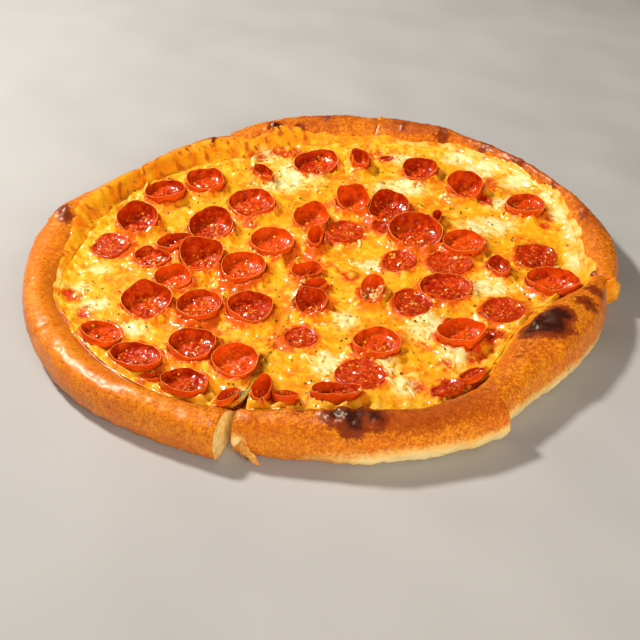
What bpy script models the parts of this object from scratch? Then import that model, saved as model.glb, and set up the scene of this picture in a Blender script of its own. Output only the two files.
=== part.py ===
"""A pan pizza with a thick hand-formed rim, cut into eight slices and covered with cupped pepperoni.

Lengths in the code are in metres, and those in the tables are in millimetres. The pizza lies flat
on z = 0 with +Z up. Angles are degrees counter-clockwise from +X, seen from above, and the photo
was taken from the -Y side.
"""

import math
import random

import bpy
import bmesh
from mathutils import Matrix, Vector, noise
from mathutils.bvhtree import BVHTree

MM = 0.001
SEED = 7

# Where the cuts meet, a little behind the middle of the outline
TIP = (-2 * MM, 8 * MM)

# Every slice of dough: the cut it starts at, its outer radius at five even places from cut to cut,
# and the radius of the cheese edge and the height of the rim at the first four of those places.
# The fifth edge and height are the next slice's first ones, so the cheese has no step at a cut.
SLICES = (
    ("slice_right_back", 348.6, (200.3, 204.2, 201.0, 198.8, 199.0), (179, 177, 183, 188), (26, 27, 26, 24)),
    ("slice_back_right", 396.6, (199.4, 199.4, 199.3, 200.3, 201.5), (187, 185, 183, 172), (24, 25, 26, 28)),
    ("slice_back_left", 435.4, (197.8, 196.5, 194.3, 191.3, 185.0), (167, 160, 159, 156), (27, 28, 29, 28)),
    ("slice_left_back", 473.2, (180.5, 179.0, 174.5, 182.0, 197.0), (150, 154, 160, 162), (26, 28, 27, 27)),
    ("slice_left", 526.7, (196.5, 199.8, 200.4, 202.0, 204.0), (165, 168, 174, 179), (28, 26, 25, 26)),
    ("slice_front_left", 569.0, (204.5, 206.0, 204.6, 202.3, 203.5), (177, 178, 178, 176), (26, 27, 27, 27)),
    ("slice_front_right", 614.0, (194.5, 195.0, 199.8, 203.4, 206.0), (171, 165, 169, 174), (26, 28, 30, 28)),
    ("slice_right_front", 662.0, (197.0, 193.0, 195.3, 196.5, 193.5), (170, 158, 151, 158), (27, 28, 30, 29)),
)
SECTIONS_PER_SLICE = 10
CUT_HALF_WIDTH = 0.3 * MM

# One cut stands open at the front: it is closed up to GAP_START and widens to the rim
GAP_SLICE = 6
GAP_START = 130 * MM
GAP_HALF_WIDTH = 4.2 * MM
GAP_REACH = 204 * MM
NOTCH_RADIUS = 148 * MM
NOTCH_HALF_ANGLE = 1.3

# The dough sheet under the topping, and the foot of the rim that rises from it. The foot's rows
# are the distance from where it starts and the height above the sheet
SHEET = 8 * MM
FOOT = ((0.0, 0.0), (4.5 * MM, 2.5 * MM), (9.0 * MM, 6.5 * MM), (11.0 * MM, 8.3 * MM))
CHEESE_ROW = 2
SAUCE_ROW = 3
# The rim above its foot: share of the way out, and share of the way up to the crest
CROWN = ((0.20, 0.62), (0.46, 1.0), (0.72, 0.95), (0.91, 0.62))
# The outer wall below the crown: distance inside the outer radius, and height
WALL = ((0.0, 13.5 * MM), (0.6 * MM, 8.0 * MM), (3.0 * MM, 2.5 * MM), (7.0 * MM, 0.0))

# Swollen and burnt places on the rim: angle, radius, reach and height
BLISTERS = (
    (277, 188, 13, 2.4), (264, 184, 9, 1.2), (325, 165, 20, 2.6), (333, 166, 13, 2.2), (168, 187, 9, 3.0),
    (154, 166, 8, 1.6), (120, 165, 11, 1.5), (102, 168, 12, 1.6), (60, 190, 14, 1.4), (4, 192, 12, 1.5),
    (215, 194, 16, 1.6), (236, 192, 14, 1.2), (292, 192, 15, 1.6), (190, 190, 12, 1.2), (84, 184, 12, 1.3),
)
RIM_LUMP = 1.1 * MM
RIM_LUMP_SIZE = 26 * MM

# Layers on the dough
LAYER_GAP = 0.3 * MM
SAUCE = 1.2 * MM
CHEESE = 3.4 * MM
CHEESE_EDGE = 1.3 * MM
CHEESE_LUMP = 0.7 * MM
CHEESE_LUMP_SIZE = 24 * MM
CHEESE_RINGS = (0.14, 0.28, 0.41, 0.53, 0.65, 0.77, 0.89)

# Pepperoni: x, y, longer width, narrower width as a share of it, angle of the longer width,
# height of the wall, how far the mouth leans in degrees, and the angle that it leans to.
# A piece that lies under another comes after it.
PEPPERONI = (
    (-130, 40, 29, 0.97, 20, 11, 16, 275),
    (-115, 82, 31, 0.95, 60, 9, 5, 120),
    (-86, 97, 30, 0.96, 10, 9, 2, 270),
    (-50, 65, 34, 0.95, 0, 8, 5, 270),
    (-77, 33, 32, 0.95, 15, 10, 13, 265),
    (-52, -20, 32, 0.95, 80, 9, 3, 270),
    (-81, -8, 30, 0.98, 0, 12, 12, 275),
    (-101, 13, 27, 0.72, 40, 8, 4, 90),
    (-115, -4, 25, 0.90, 150, 6, 5, 250),
    (-98, -31, 25, 0.95, 0, 8, 7, 280),
    (-112, -60, 32, 0.97, 0, 10, 12, 270),
    (-78, -63, 32, 0.95, 50, 8, 2, 90),
    (-45, -66, 30, 0.97, 0, 8, 4, 270),
    (-146, 12, 29, 0.92, 100, 4, 3, 200),
    (-79, -106, 30, 0.96, 30, 9, 2, 300),
    (-51, -122, 29, 0.95, 0, 9, 5, 270),
    (-80, -143, 29, 0.93, 150, 8, 4, 60),
    (-112, -117, 32, 0.90, 140, 8, 7, 60),
    (-137, -94, 29, 0.85, 125, 7, 8, 40),
    (-34, -152, 23, 0.50, 80, 11, 4, 250),
    (9, -152, 30, 0.58, 5, 9, 8, 80),
    (24, -130, 31, 0.92, 0, 3, 0, 0),
    (35, -103, 31, 0.95, 20, 8, 2, 90),
    (-12, -93, 23, 0.90, 120, 3, 2, 0),
    (-6, -61, 21, 0.92, 0, 9, 18, 270),
    (-9, -23, 21, 0.60, 10, 8, 12, 265),
    (-33, 11, 31, 0.96, 0, 9, 3, 270),
    (-6, 43, 26, 0.92, 30, 10, 14, 280),
    (-3, 16, 22, 0.50, 85, 10, 5, 270),
    (18, 30, 29, 0.90, 40, 4, 3, 0),
    (24, 66, 25, 0.95, 0, 12, 15, 275),
    (49, 59, 31, 0.93, 20, 9, 14, 270),
    (67, 24, 38, 0.90, 0, 10, 10, 270),
    (54, -8, 25, 0.90, 45, 4, 3, 270),
    (100, 12, 31, 0.93, 30, 8, 2, 90),
    (88, -11, 31, 0.90, 170, 4, 3, 250),
    (83, -40, 34, 0.90, 10, 5, 3, 270),
    (121, -18, 22, 0.62, 110, 8, 5, 200),
    (148, -1, 31, 0.95, 90, 3, 5, 180),
    (154, -39, 36, 0.66, 150, 9, 5, 230),
    (118, -65, 29, 0.95, 0, 4, 0, 0),
    (88, -94, 31, 0.92, 30, 10, 4, 90),
    (76, -146, 22, 0.85, 30, 4, 4, 120),
    (60, -56, 29, 0.92, 70, 4, 2, 0),
    (34, -46, 25, 0.64, 80, 9, 8, 260),
    (150, 63, 30, 0.94, 60, 8, 3, 90),
    (108, 86, 27, 0.97, 0, 12, 14, 280),
    (76, 114, 28, 0.90, 40, 9, 8, 260),
    (31, 127, 23, 0.56, 110, 12, 5, 250),
    (-3, 126, 34, 0.92, 5, 8, 8, 270),
)
PEPPERONI_SIDES = 12
PEPPERONI_THICKNESS = 2.0 * MM
PEPPERONI_LEAST_WALL = 3.0 * MM
# How much further down the low side of a leaning mouth lies than its high side stands up
PEPPERONI_LOW_SIDE = 1.7
PEPPERONI_GAP = 0.9 * MM
PEPPERONI_WAVE = 0.045
SIDEWAYS = (-14, -7, 0, 7, 14)
PEPPERONI_STEEPEST = 22
FLAT_WALL = 4.5 * MM
REST_GAP = 0.4 * MM
DROP_FROM = 100 * MM
UNDERSIDE_SHARES = (0.2, 0.4, 0.6, 0.8, 1.0)


def direction(angle):
    """Unit x and y of an angle in degrees."""
    return math.cos(math.radians(angle)), math.sin(math.radians(angle))


def smooth_at(values, share):
    """Smooth curve through evenly spaced values, at a share of 0 to 1 of the way along them."""
    place = share * (len(values) - 1)
    i = min(int(place), len(values) - 2)
    t = place - i
    before = values[max(i - 1, 0)]
    a, b = values[i], values[i + 1]
    after = values[min(i + 2, len(values) - 1)]
    return 0.5 * (2 * a + (b - before) * t + (2 * before - 5 * a + 4 * b - after) * t ** 2
                  + (3 * a - before - 3 * b + after) * t ** 3)


def stations(index):
    """A slice's radial sections: angle, outer radius, cheese edge and rim height of each."""
    start, outer, edge, height = SLICES[index][1:]
    following = SLICES[(index + 1) % len(SLICES)]
    span = (following[1] - start) % 360
    edges = edge + (following[3][0],)
    heights = height + (following[4][0],)
    found = []
    for i in range(SECTIONS_PER_SLICE + 1):
        share = i / SECTIONS_PER_SLICE
        found.append((start + span * share, smooth_at(outer, share) * MM,
                      smooth_at(edges, share) * MM, smooth_at(heights, share) * MM))
    return found


def swelling(x, y):
    """How far lumps and blisters lift the rim at a place."""
    lift = RIM_LUMP * noise.noise(Vector((x, y, 0.0)) / RIM_LUMP_SIZE)
    for angle, radius, reach, height in BLISTERS:
        cx, cy = direction(angle)
        far = math.hypot(x - cx * radius * MM, y - cy * radius * MM) / (reach * MM)
        lift += height * MM * math.exp(-far ** 2)
    return lift


def foot_rows(angle, edge):
    """Rows of the rim's foot on one section, as points on the dough."""
    cx, cy = direction(angle)
    start = edge - FOOT[CHEESE_ROW][0]
    return [(cx * (start + out), cy * (start + out), SHEET + up) for out, up in FOOT]


def rim_rows(angle, outer, edge, height):
    """Rows of the rim above its foot on one section, from the inside out to the underside."""
    cx, cy = direction(angle)
    foot_end = edge - FOOT[CHEESE_ROW][0] + FOOT[SAUCE_ROW][0]
    foot_top = SHEET + FOOT[SAUCE_ROW][1]
    rows = []
    for out, up in CROWN:
        r = foot_end + out * (outer - foot_end)
        x, y = cx * r, cy * r
        rows.append((x, y, foot_top + up * (height - foot_top + swelling(x, y))))
    for inside, z in WALL:
        r = outer - inside
        rows.append((cx * r, cy * r, z))
    return rows


def cut_shift(point, open_side):
    """How far a cut face stands back from the cut's middle at a point."""
    if not open_side:
        return CUT_HALF_WIDTH
    r = math.hypot(point[0], point[1])
    share = max(0.0, (r - GAP_START) / (GAP_REACH - GAP_START))
    return CUT_HALF_WIDTH + share * (GAP_HALF_WIDTH - CUT_HALF_WIDTH)


def new_object(name, vertices, faces):
    mesh = bpy.data.meshes.new(name)
    mesh.from_pydata(vertices, [], faces)
    bm = bmesh.new()
    bm.from_mesh(mesh)
    bmesh.ops.triangulate(bm, faces=bm.faces[:])
    bm.to_mesh(mesh)
    bm.free()
    obj = bpy.data.objects.new(name, mesh)
    bpy.context.scene.collection.objects.link(obj)
    return obj


def dough_slice(index):
    """One wedge of dough: a flat sheet, and a rim that swells out of it, closed by two cut faces."""
    sections = stations(index)
    open_start = index == GAP_SLICE
    open_end = index == GAP_SLICE - 1
    middle = sections[len(sections) // 2][0]
    half_span = math.radians(sections[-1][0] - sections[0][0]) / 2
    back = CUT_HALF_WIDTH / math.sin(half_span)
    mx, my = direction(middle)
    tip = (TIP[0] + mx * back, TIP[1] + my * back)
    vertices = [(tip[0], tip[1], SHEET), (tip[0], tip[1], 0.0)]
    for i, (angle, outer, edge, height) in enumerate(sections):
        rows = foot_rows(angle, edge) + rim_rows(angle, outer, edge, height)
        side = 1 if i == 0 else -1 if i == len(sections) - 1 else 0
        tx, ty = direction(angle + 90)
        for x, y, z in rows:
            shift = side * cut_shift((x, y), open_start if side > 0 else open_end)
            vertices.append((x + tx * shift, y + ty * shift, z))
    count = len(FOOT) + len(CROWN) + len(WALL)
    faces = []
    for i in range(len(sections) - 1):
        a, b = 2 + i * count, 2 + (i + 1) * count
        faces.append((0, a, b))
        faces.append((1, b + count - 1, a + count - 1))
        for j in range(count - 1):
            faces.append((a + j, a + j + 1, b + j + 1, b + j))
    last = 2 + (len(sections) - 1) * count
    faces.append((1,) + tuple(2 + j for j in reversed(range(count))) + (0,))
    faces.append((0,) + tuple(last + j for j in range(count)) + (1,))
    return new_object(SLICES[index][0], vertices, faces)


def edge_beside_gap(near, further):
    """The cheese edge beside the notch, between the dough's cut face and its next section."""
    face = math.degrees(cut_shift((near[2], 0.0), True) / near[2])
    share = (NOTCH_HALF_ANGLE - face) / (abs(further[0] - near[0]) - face)
    return near[2] + (further[2] - near[2]) * share


def layer_sections():
    """Sections right round the pizza for the sauce and cheese, each with its cheese edge and whether
    it is the bottom of the notch over the open cut."""
    found = []
    for index in range(len(SLICES)):
        sections = stations(index)
        if index == GAP_SLICE:
            before = stations(index - 1)
            cut = sections[0][0]
            found.append((cut - NOTCH_HALF_ANGLE, edge_beside_gap(before[-1], before[-2]), False))
            found.append((cut, NOTCH_RADIUS, True))
            found.append((cut + NOTCH_HALF_ANGLE, edge_beside_gap(sections[0], sections[1]), False))
            sections = sections[1:]
        found += [(angle, edge, False) for angle, _, edge, _ in sections[:-1]]
    return found


def layer_rows(angle, edge, notch, last_row):
    """Rows of a layer's underside along the foot; over the open cut they stay on the flat sheet."""
    rows = foot_rows(angle, edge)[:last_row + 1]
    if not notch:
        return rows
    cx, cy = direction(angle)
    flat = []
    for j in range(len(rows)):
        r = NOTCH_RADIUS - (CHEESE_ROW - j) * LAYER_GAP * 4
        flat.append((cx * r, cy * r, SHEET))
    return flat


def sauce_layer():
    """A thin even layer that follows the dough and shows as a line past the cheese."""
    sections = layer_sections()
    count = SAUCE_ROW + 1
    low = SHEET + LAYER_GAP
    vertices = [(TIP[0], TIP[1], low), (TIP[0], TIP[1], low + SAUCE)]
    for angle, edge, notch in sections:
        rows = layer_rows(angle, edge, notch, SAUCE_ROW)
        vertices += [(x, y, z + LAYER_GAP) for x, y, z in rows]
        vertices += [(x, y, z + LAYER_GAP + SAUCE) for x, y, z in rows]
    faces = []
    for i in range(len(sections)):
        a = 2 + i * 2 * count
        b = 2 + ((i + 1) % len(sections)) * 2 * count
        faces.append((0, b, a))
        faces.append((1, a + count, b + count))
        for j in range(count - 1):
            faces.append((a + j, b + j, b + j + 1, a + j + 1))
            faces.append((a + count + j, a + count + j + 1, b + count + j + 1, b + count + j))
        faces.append((a + count - 1, b + count - 1, b + 2 * count - 1, a + 2 * count - 1))
    return new_object("sauce", vertices, faces)


def cheese_lift(x, y):
    """Soft unevenness of the melted cheese."""
    return CHEESE_LUMP * noise.noise(Vector((x, y, SEED * MM)) / CHEESE_LUMP_SIZE)


def cheese_layer():
    """The melted cheese: even underneath, softly uneven on top, thinner where it climbs the rim."""
    sections = layer_sections()
    count = CHEESE_ROW + 1
    above = LAYER_GAP * 2 + SAUCE
    low = SHEET + above
    vertices = [(TIP[0], TIP[1], low), (TIP[0], TIP[1], low + CHEESE)]
    size = count + len(CHEESE_RINGS) + count
    for angle, edge, notch in sections:
        rows = layer_rows(angle, edge, notch, CHEESE_ROW)
        vertices += [(x, y, z + above) for x, y, z in rows]
        fx, fy, _ = rows[0]
        for share in CHEESE_RINGS:
            x, y = TIP[0] + share * (fx - TIP[0]), TIP[1] + share * (fy - TIP[1])
            vertices.append((x, y, low + CHEESE + cheese_lift(x, y)))
        for j, (x, y, z) in enumerate(rows):
            thick = CHEESE + (CHEESE_EDGE - CHEESE) * j / CHEESE_ROW
            vertices.append((x, y, z + above + thick + cheese_lift(x, y) * (1 - j / CHEESE_ROW)))
    faces = []
    for i in range(len(sections)):
        a = 2 + i * size
        b = 2 + ((i + 1) % len(sections)) * size
        faces.append((0, b, a))
        for j in range(count - 1):
            faces.append((a + j, b + j, b + j + 1, a + j + 1))
        faces.append((1, a + count, b + count))
        for j in range(count, size - 1):
            faces.append((a + j, a + j + 1, b + j + 1, b + j))
        faces.append((a + count - 1, b + count - 1, b + size - 1, a + size - 1))
    return new_object("cheese", vertices, faces)


def surface_under(objects):
    """A function that gives the height of the highest of the objects at a place."""
    vertices, faces = [], []
    for obj in objects:
        start = len(vertices)
        vertices += [v.co.copy() for v in obj.data.vertices]
        faces += [tuple(start + i for i in p.vertices) for p in obj.data.polygons]
    tree = BVHTree.FromPolygons(vertices, faces)

    def height_at(x, y):
        hit = tree.ray_cast(Vector((x, y, DROP_FROM)), Vector((0, 0, -1)))
        return hit[0].z if hit[0] else 0.0

    return height_at


def reach_to(outline, x, y, dx, dy):
    """Distance from a place to a closed outline along a direction, or None where it misses."""
    nearest = None
    for i, (ax, ay) in enumerate(outline):
        bx, by = outline[(i + 1) % len(outline)]
        ex, ey = bx - ax, by - ay
        across = dx * ey - dy * ex
        if abs(across) < 1e-12:
            continue
        far = ((ax - x) * ey - (ay - y) * ex) / across
        along = ((ax - x) * dy - (ay - y) * dx) / across
        if far > 0 and 0 <= along <= 1 and (nearest is None or far < nearest):
            nearest = far
    return nearest


def pepperoni_rows(wall):
    """Rings of a piece from the middle of its underside, over the lip, to the middle of its floor.
    Each is the share of the half width, the share of the wall's height and a fixed height."""
    thick = PEPPERONI_THICKNESS
    if wall <= FLAT_WALL:
        return ((0.80, 0.0, 0.0), (1.0, 0.55, 0.0), (0.93, 1.0, 0.0), (0.72, 0.0, thick))
    return ((0.62, 0.0, 0.0), (1.0, 0.42, 0.0), (0.97, 1.0, 0.0), (0.86, 0.97, 0.0),
            (0.86, 0.42, 0.0), (0.52, 0.0, thick))


def pepperoni_piece(number, row, taken, height_at):
    """A round of pepperoni curled up into a cup, set on the cheese clear of the pieces before it."""
    x, y, width, narrow, turn, wall, lean, toward = row
    x, y, wall = x * MM, y * MM, wall * MM
    long_half, short_half = width * MM / 2, width * narrow * MM / 2
    chance = random.Random(SEED + number)
    phase = chance.uniform(0, 360)
    waves = chance.choice((2, 3, 3, 4))
    rows = pepperoni_rows(wall)
    widest = max(share for share, _, _ in rows)
    rings = [[] for _ in rows]
    outline = []
    for i in range(PEPPERONI_SIDES):
        angle = 360 * i / PEPPERONI_SIDES
        dx, dy = direction(angle)
        along, across = direction(angle - turn)
        half = long_half * short_half / math.hypot(short_half * along, long_half * across)
        half *= 1 + PEPPERONI_WAVE * math.sin(math.radians(waves * angle + phase))
        for other in taken:
            for aside in SIDEWAYS:
                room = reach_to(other, x, y, *direction(angle + aside))
                if room is not None:
                    half = min(half, (room - PEPPERONI_GAP) / widest)
        fall = math.tan(math.radians(lean)) * half * math.cos(math.radians(angle - toward))
        high = wall - fall * (PEPPERONI_LOW_SIDE if fall > 0 else 1.0)
        high *= 1 + PEPPERONI_WAVE * math.cos(math.radians(waves * angle - phase))
        high = max(high, min(wall, PEPPERONI_LEAST_WALL))
        for ring, (share, up, fixed) in zip(rings, rows):
            ring.append(Vector((dx * half * share, dy * half * share, high * up + fixed)))
        outline.append((x + dx * half * widest, y + dy * half * widest))
    taken.append(outline)
    points = [Vector((0, 0, 0))] + [p for ring in rings for p in ring]
    points.append(Vector((0, 0, PEPPERONI_THICKNESS)))
    settle = settling(x, y, rings[0], height_at)
    points = [settle @ p for p in points]
    sides = PEPPERONI_SIDES
    faces = []
    for i in range(sides):
        j = (i + 1) % sides
        faces.append((0, 1 + j, 1 + i))
        for k in range(len(rings) - 1):
            a = 1 + k * sides
            faces.append((a + i, a + j, a + sides + j, a + sides + i))
        a = 1 + (len(rings) - 1) * sides
        faces.append((a + i, a + j, len(points) - 1))
    lift = resting_lift(points, sides, height_at)
    points = [(p.x, p.y, p.z + lift) for p in points]
    return new_object(f"pepperoni_{number:02d}", points, faces)


def settling(x, y, underside, height_at):
    """The turn and place that lay a piece's underside along the surface below it."""
    slope_x = slope_y = spread_x = spread_y = 0.0
    middle = height_at(x, y)
    for p in underside:
        rise = height_at(x + p.x, y + p.y) - middle
        slope_x += rise * p.x
        slope_y += rise * p.y
        spread_x += p.x ** 2
        spread_y += p.y ** 2
    upward = Vector((-slope_x / spread_x, -slope_y / spread_y, 1.0)).normalized()
    axis = Vector((0, 0, 1)).cross(upward)
    tilt = min(math.acos(upward.z), math.radians(PEPPERONI_STEEPEST))
    turned = Matrix.Rotation(tilt, 4, axis.normalized()) if axis.length > 1e-9 else Matrix()
    return Matrix.Translation((x, y, middle)) @ turned


def resting_lift(points, sides, height_at):
    """How far a piece must rise so that all of its underside is clear of the surface."""
    middle = points[0]
    foot = points[1:1 + sides]
    belly = points[1 + sides:1 + 2 * sides]
    lift = 0.0
    for ring, shares in ((foot, UNDERSIDE_SHARES), (belly, (1.0,))):
        for i, p in enumerate(ring):
            for corner in (p, p.lerp(ring[(i + 1) % sides], 0.5)):
                for share in shares:
                    q = middle.lerp(corner, share)
                    lift = max(lift, height_at(q.x, q.y) - q.z)
    return lift + REST_GAP


def build():
    for obj in list(bpy.data.objects):
        bpy.data.objects.remove(obj)
    below = [dough_slice(i) for i in range(len(SLICES))]
    below.append(sauce_layer())
    below.append(cheese_layer())
    height_at = surface_under(below)
    taken = []
    for number, row in enumerate(PEPPERONI, start=1):
        pepperoni_piece(number, row, taken, height_at)


build()
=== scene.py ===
"""Looks of the pan pizza: browned dough, red sauce, melted cheese and cupped pepperoni.

Lengths in the code are in metres, and those in the tables are in millimetres. The pizza lies flat
on z = 0 with +Z up. Angles are degrees counter-clockwise from +X, seen from above. The tables of
the slices and the pepperoni are the ones that the solids were made from.
"""

import math
import random

import bpy
import numpy as np
from mathutils import Matrix, Vector, noise
from mathutils.bvhtree import BVHTree

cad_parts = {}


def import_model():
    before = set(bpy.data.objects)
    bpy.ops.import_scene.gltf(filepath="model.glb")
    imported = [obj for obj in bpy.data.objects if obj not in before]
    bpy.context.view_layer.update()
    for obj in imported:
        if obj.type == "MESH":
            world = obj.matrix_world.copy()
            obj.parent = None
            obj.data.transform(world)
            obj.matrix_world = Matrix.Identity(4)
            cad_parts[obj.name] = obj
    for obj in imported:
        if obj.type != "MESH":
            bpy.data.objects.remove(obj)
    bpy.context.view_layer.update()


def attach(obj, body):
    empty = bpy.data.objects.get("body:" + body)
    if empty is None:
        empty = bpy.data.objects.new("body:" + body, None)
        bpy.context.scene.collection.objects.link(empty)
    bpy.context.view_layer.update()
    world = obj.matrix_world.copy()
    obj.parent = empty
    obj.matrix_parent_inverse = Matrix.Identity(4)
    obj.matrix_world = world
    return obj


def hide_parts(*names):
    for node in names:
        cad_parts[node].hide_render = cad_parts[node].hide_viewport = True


MM = 0.001
SEED = 7

# Slices: name, first cut, outer radius at five even places, cheese edge and rim height at four
SLICES = (
    ("slice_right_back", 348.6, (200.3, 204.2, 201.0, 198.8, 199.0), (179, 177, 183, 188), (26, 27, 26, 24)),
    ("slice_back_right", 396.6, (199.4, 199.4, 199.3, 200.3, 201.5), (187, 185, 183, 172), (24, 25, 26, 28)),
    ("slice_back_left", 435.4, (197.8, 196.5, 194.3, 191.3, 185.0), (167, 160, 159, 156), (27, 28, 29, 28)),
    ("slice_left_back", 473.2, (180.5, 179.0, 174.5, 182.0, 197.0), (150, 154, 160, 162), (26, 28, 27, 27)),
    ("slice_left", 526.7, (196.5, 199.8, 200.4, 202.0, 204.0), (165, 168, 174, 179), (28, 26, 25, 26)),
    ("slice_front_left", 569.0, (204.5, 206.0, 204.6, 202.3, 203.5), (177, 178, 178, 176), (26, 27, 27, 27)),
    ("slice_front_right", 614.0, (194.5, 195.0, 199.8, 203.4, 206.0), (171, 165, 169, 174), (26, 28, 30, 28)),
    ("slice_right_front", 662.0, (197.0, 193.0, 195.3, 196.5, 193.5), (170, 158, 151, 158), (27, 28, 30, 29)),
)
TIP = (-2 * MM, 8 * MM)
CUT_HALF_WIDTH = 0.3 * MM
GAP_SLICE = 6
GAP_ANGLE = SLICES[GAP_SLICE][1] % 360
GAP_START = 130 * MM
GAP_HALF_WIDTH = 4.2 * MM
GAP_REACH = 204 * MM
NOTCH_RADIUS = 148 * MM
NOTCH_HALF_ANGLE = 1.3
SHEET = 8 * MM
FOOT = ((0.0, 0.0), (4.5 * MM, 2.5 * MM), (9.0 * MM, 6.5 * MM), (11.0 * MM, 8.3 * MM))
FOOT_OUT, FOOT_UP = zip(*FOOT)
CHEESE_FOOT = FOOT[2][0]
CROWN = ((0.20, 0.62), (0.46, 1.0), (0.72, 0.95), (0.91, 0.62))
WALL = ((0.0, 13.5 * MM), (0.6 * MM, 8.0 * MM), (3.0 * MM, 2.5 * MM), (7.0 * MM, 0.0))
BLISTERS = (
    (277, 188, 13, 2.4), (264, 184, 9, 1.2), (325, 165, 20, 2.6), (333, 166, 13, 2.2), (168, 187, 9, 3.0),
    (154, 166, 8, 1.6), (120, 165, 11, 1.5), (102, 168, 12, 1.6), (60, 190, 14, 1.4), (4, 192, 12, 1.5),
    (215, 194, 16, 1.6), (236, 192, 14, 1.2), (292, 192, 15, 1.6), (190, 190, 12, 1.2), (84, 184, 12, 1.3),
)
TOP_EASE = 31.0 * MM
TOP_ROOM = 2.2 * MM
RIM_LUMP = 1.1 * MM
RIM_LUMP_SIZE = 26 * MM
LAYER_GAP = 0.3 * MM
SAUCE = 1.2 * MM
CHEESE = 3.4 * MM
CHEESE_EDGE = 1.3 * MM
CHEESE_FLOOR = LAYER_GAP * 2 + SAUCE
CHEESE_LUMP = 0.7 * MM
CHEESE_LUMP_SIZE = 24 * MM

# Finer steps than the solids have
SECTIONS = 100
CROWN_STEPS = 44
WALL_STEPS = 14
SHEET_STEPS = 5
END_STEPS = 12
CHEESE_GRID = 300
RING_SIDES = 1200
RING_STEPS = 24

# Fine relief of the crust: size and height of each layer of lumps in mm
CRUST_RELIEF = ((9, 0.55), (3.8, 0.34), (2.1, 0.26))
SMALL_BLISTERS = 60
BURN_SINK = 1.0 * MM
# Groove where the crusts of two slices meet
GROOVE_WIDTH = 1.3 * MM
GROOVE_DEPTH = 0.7 * MM
# How far in from a cut its face is uneven, and how much of a closed cut's face takes the skin's darker
# colour: painted shade in the narrow gap between two slices
CUT_REACH = 12 * MM
CLOSED_CUT_SHADE = 0.92
# Where the crumb is torn at the open cut, and how far that reaches each way
TORN = (-47, -190, 13)
TORN_REACH = (5, 7, 6)

# Burnt places on the rim: angle, radius, height, reach in mm and strength
BURNS = (
    (275.6, 188, 31, 13, 1.0), (272.4, 184, 30, 9, 0.95), (279.2, 189, 29, 9, 0.95),
    (266.0, 180, 27, 7, 0.35), (325.0, 171, 28, 16, 1.45), (322.3, 166, 26, 11, 1.25),
    (328.0, 173, 28, 12, 1.25), (335.8, 184, 27, 9, 0.65), (341.5, 187, 25, 8, 0.6),
    (323.5, 157, 21, 7, 0.55), (315.0, 175, 27, 11, 0.35), (330.0, 162, 24, 7, 0.6),
    (170.2, 181, 30, 8, 0.7), (167.5, 187, 30, 8, 0.65), (156.0, 162, 24, 6, 0.6),
    (120.6, 167, 28, 6, 0.95), (123.0, 163, 24, 5, 0.6), (101.8, 171, 28, 7, 0.95), (95.7, 169, 27, 5, 0.7),
    (88.0, 180, 28, 6, 0.5), (69.0, 184, 27, 6, 0.5), (59.0, 188, 26, 9, 0.5), (48.0, 189, 25, 8, 0.55),
    (38.0, 190, 25, 9, 0.5), (27.0, 190, 25, 8, 0.45), (12.0, 192, 26, 9, 0.4), (349.8, 182, 23, 6, 0.6),
)
# Floury, paler stretches low on the outer wall: middle angle, half width in degrees and strength
PALE_WALLS = (
    (286, 18, 1.3), (304, 14, 1.45), (322, 26, 1.25), (350, 14, 0.6), (235, 25, 0.3), (190, 25, 0.25),
    (60, 40, 0.2),
)
# Browner stretches of the crest: middle angle, half width in degrees and strength
TOASTED = (
    (285, 24, 0.95), (318, 18, 0.42), (341, 12, 0.15), (10, 16, 0.75), (40, 24, 0.9), (66, 14, 0.9),
    (90, 12, 0.7), (112, 16, 0.45), (168, 7, 0.4), (256, 9, 0.5), (235, 14, 0.25),
)
# How far cheese has run up the rim, in mm at each angle, and how browned it is there
CREEP = (
    (0, 5, 0.1), (15, 4, 0.1), (30, 4, 0.2), (45, 4, 0.3), (60, 5, 0.3), (75, 6, 0.4), (90, 9, 0.5),
    (105, 16, 0.6), (120, 19, 0.6), (135, 22, 0.6), (150, 22, 0.55), (162, 16, 0.5), (175, 8, 0.4),
    (190, 4, 0.4), (205, 3, 0.4), (225, 2, 0.5), (245, 2, 0.6), (262, 2, 0.6), (280, 1, 0.6), (300, 2, 0.5),
    (315, 4, 0.4), (330, 4, 0.5), (342, 5, 0.3), (350, 8, 0.1), (360, 5, 0.1),
)

# The most of the rim's width that cheese has run over, and how far it starts inside the cheese edge
CREEP_LIMIT = 0.72
RING_INSIDE = 5 * MM

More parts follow.
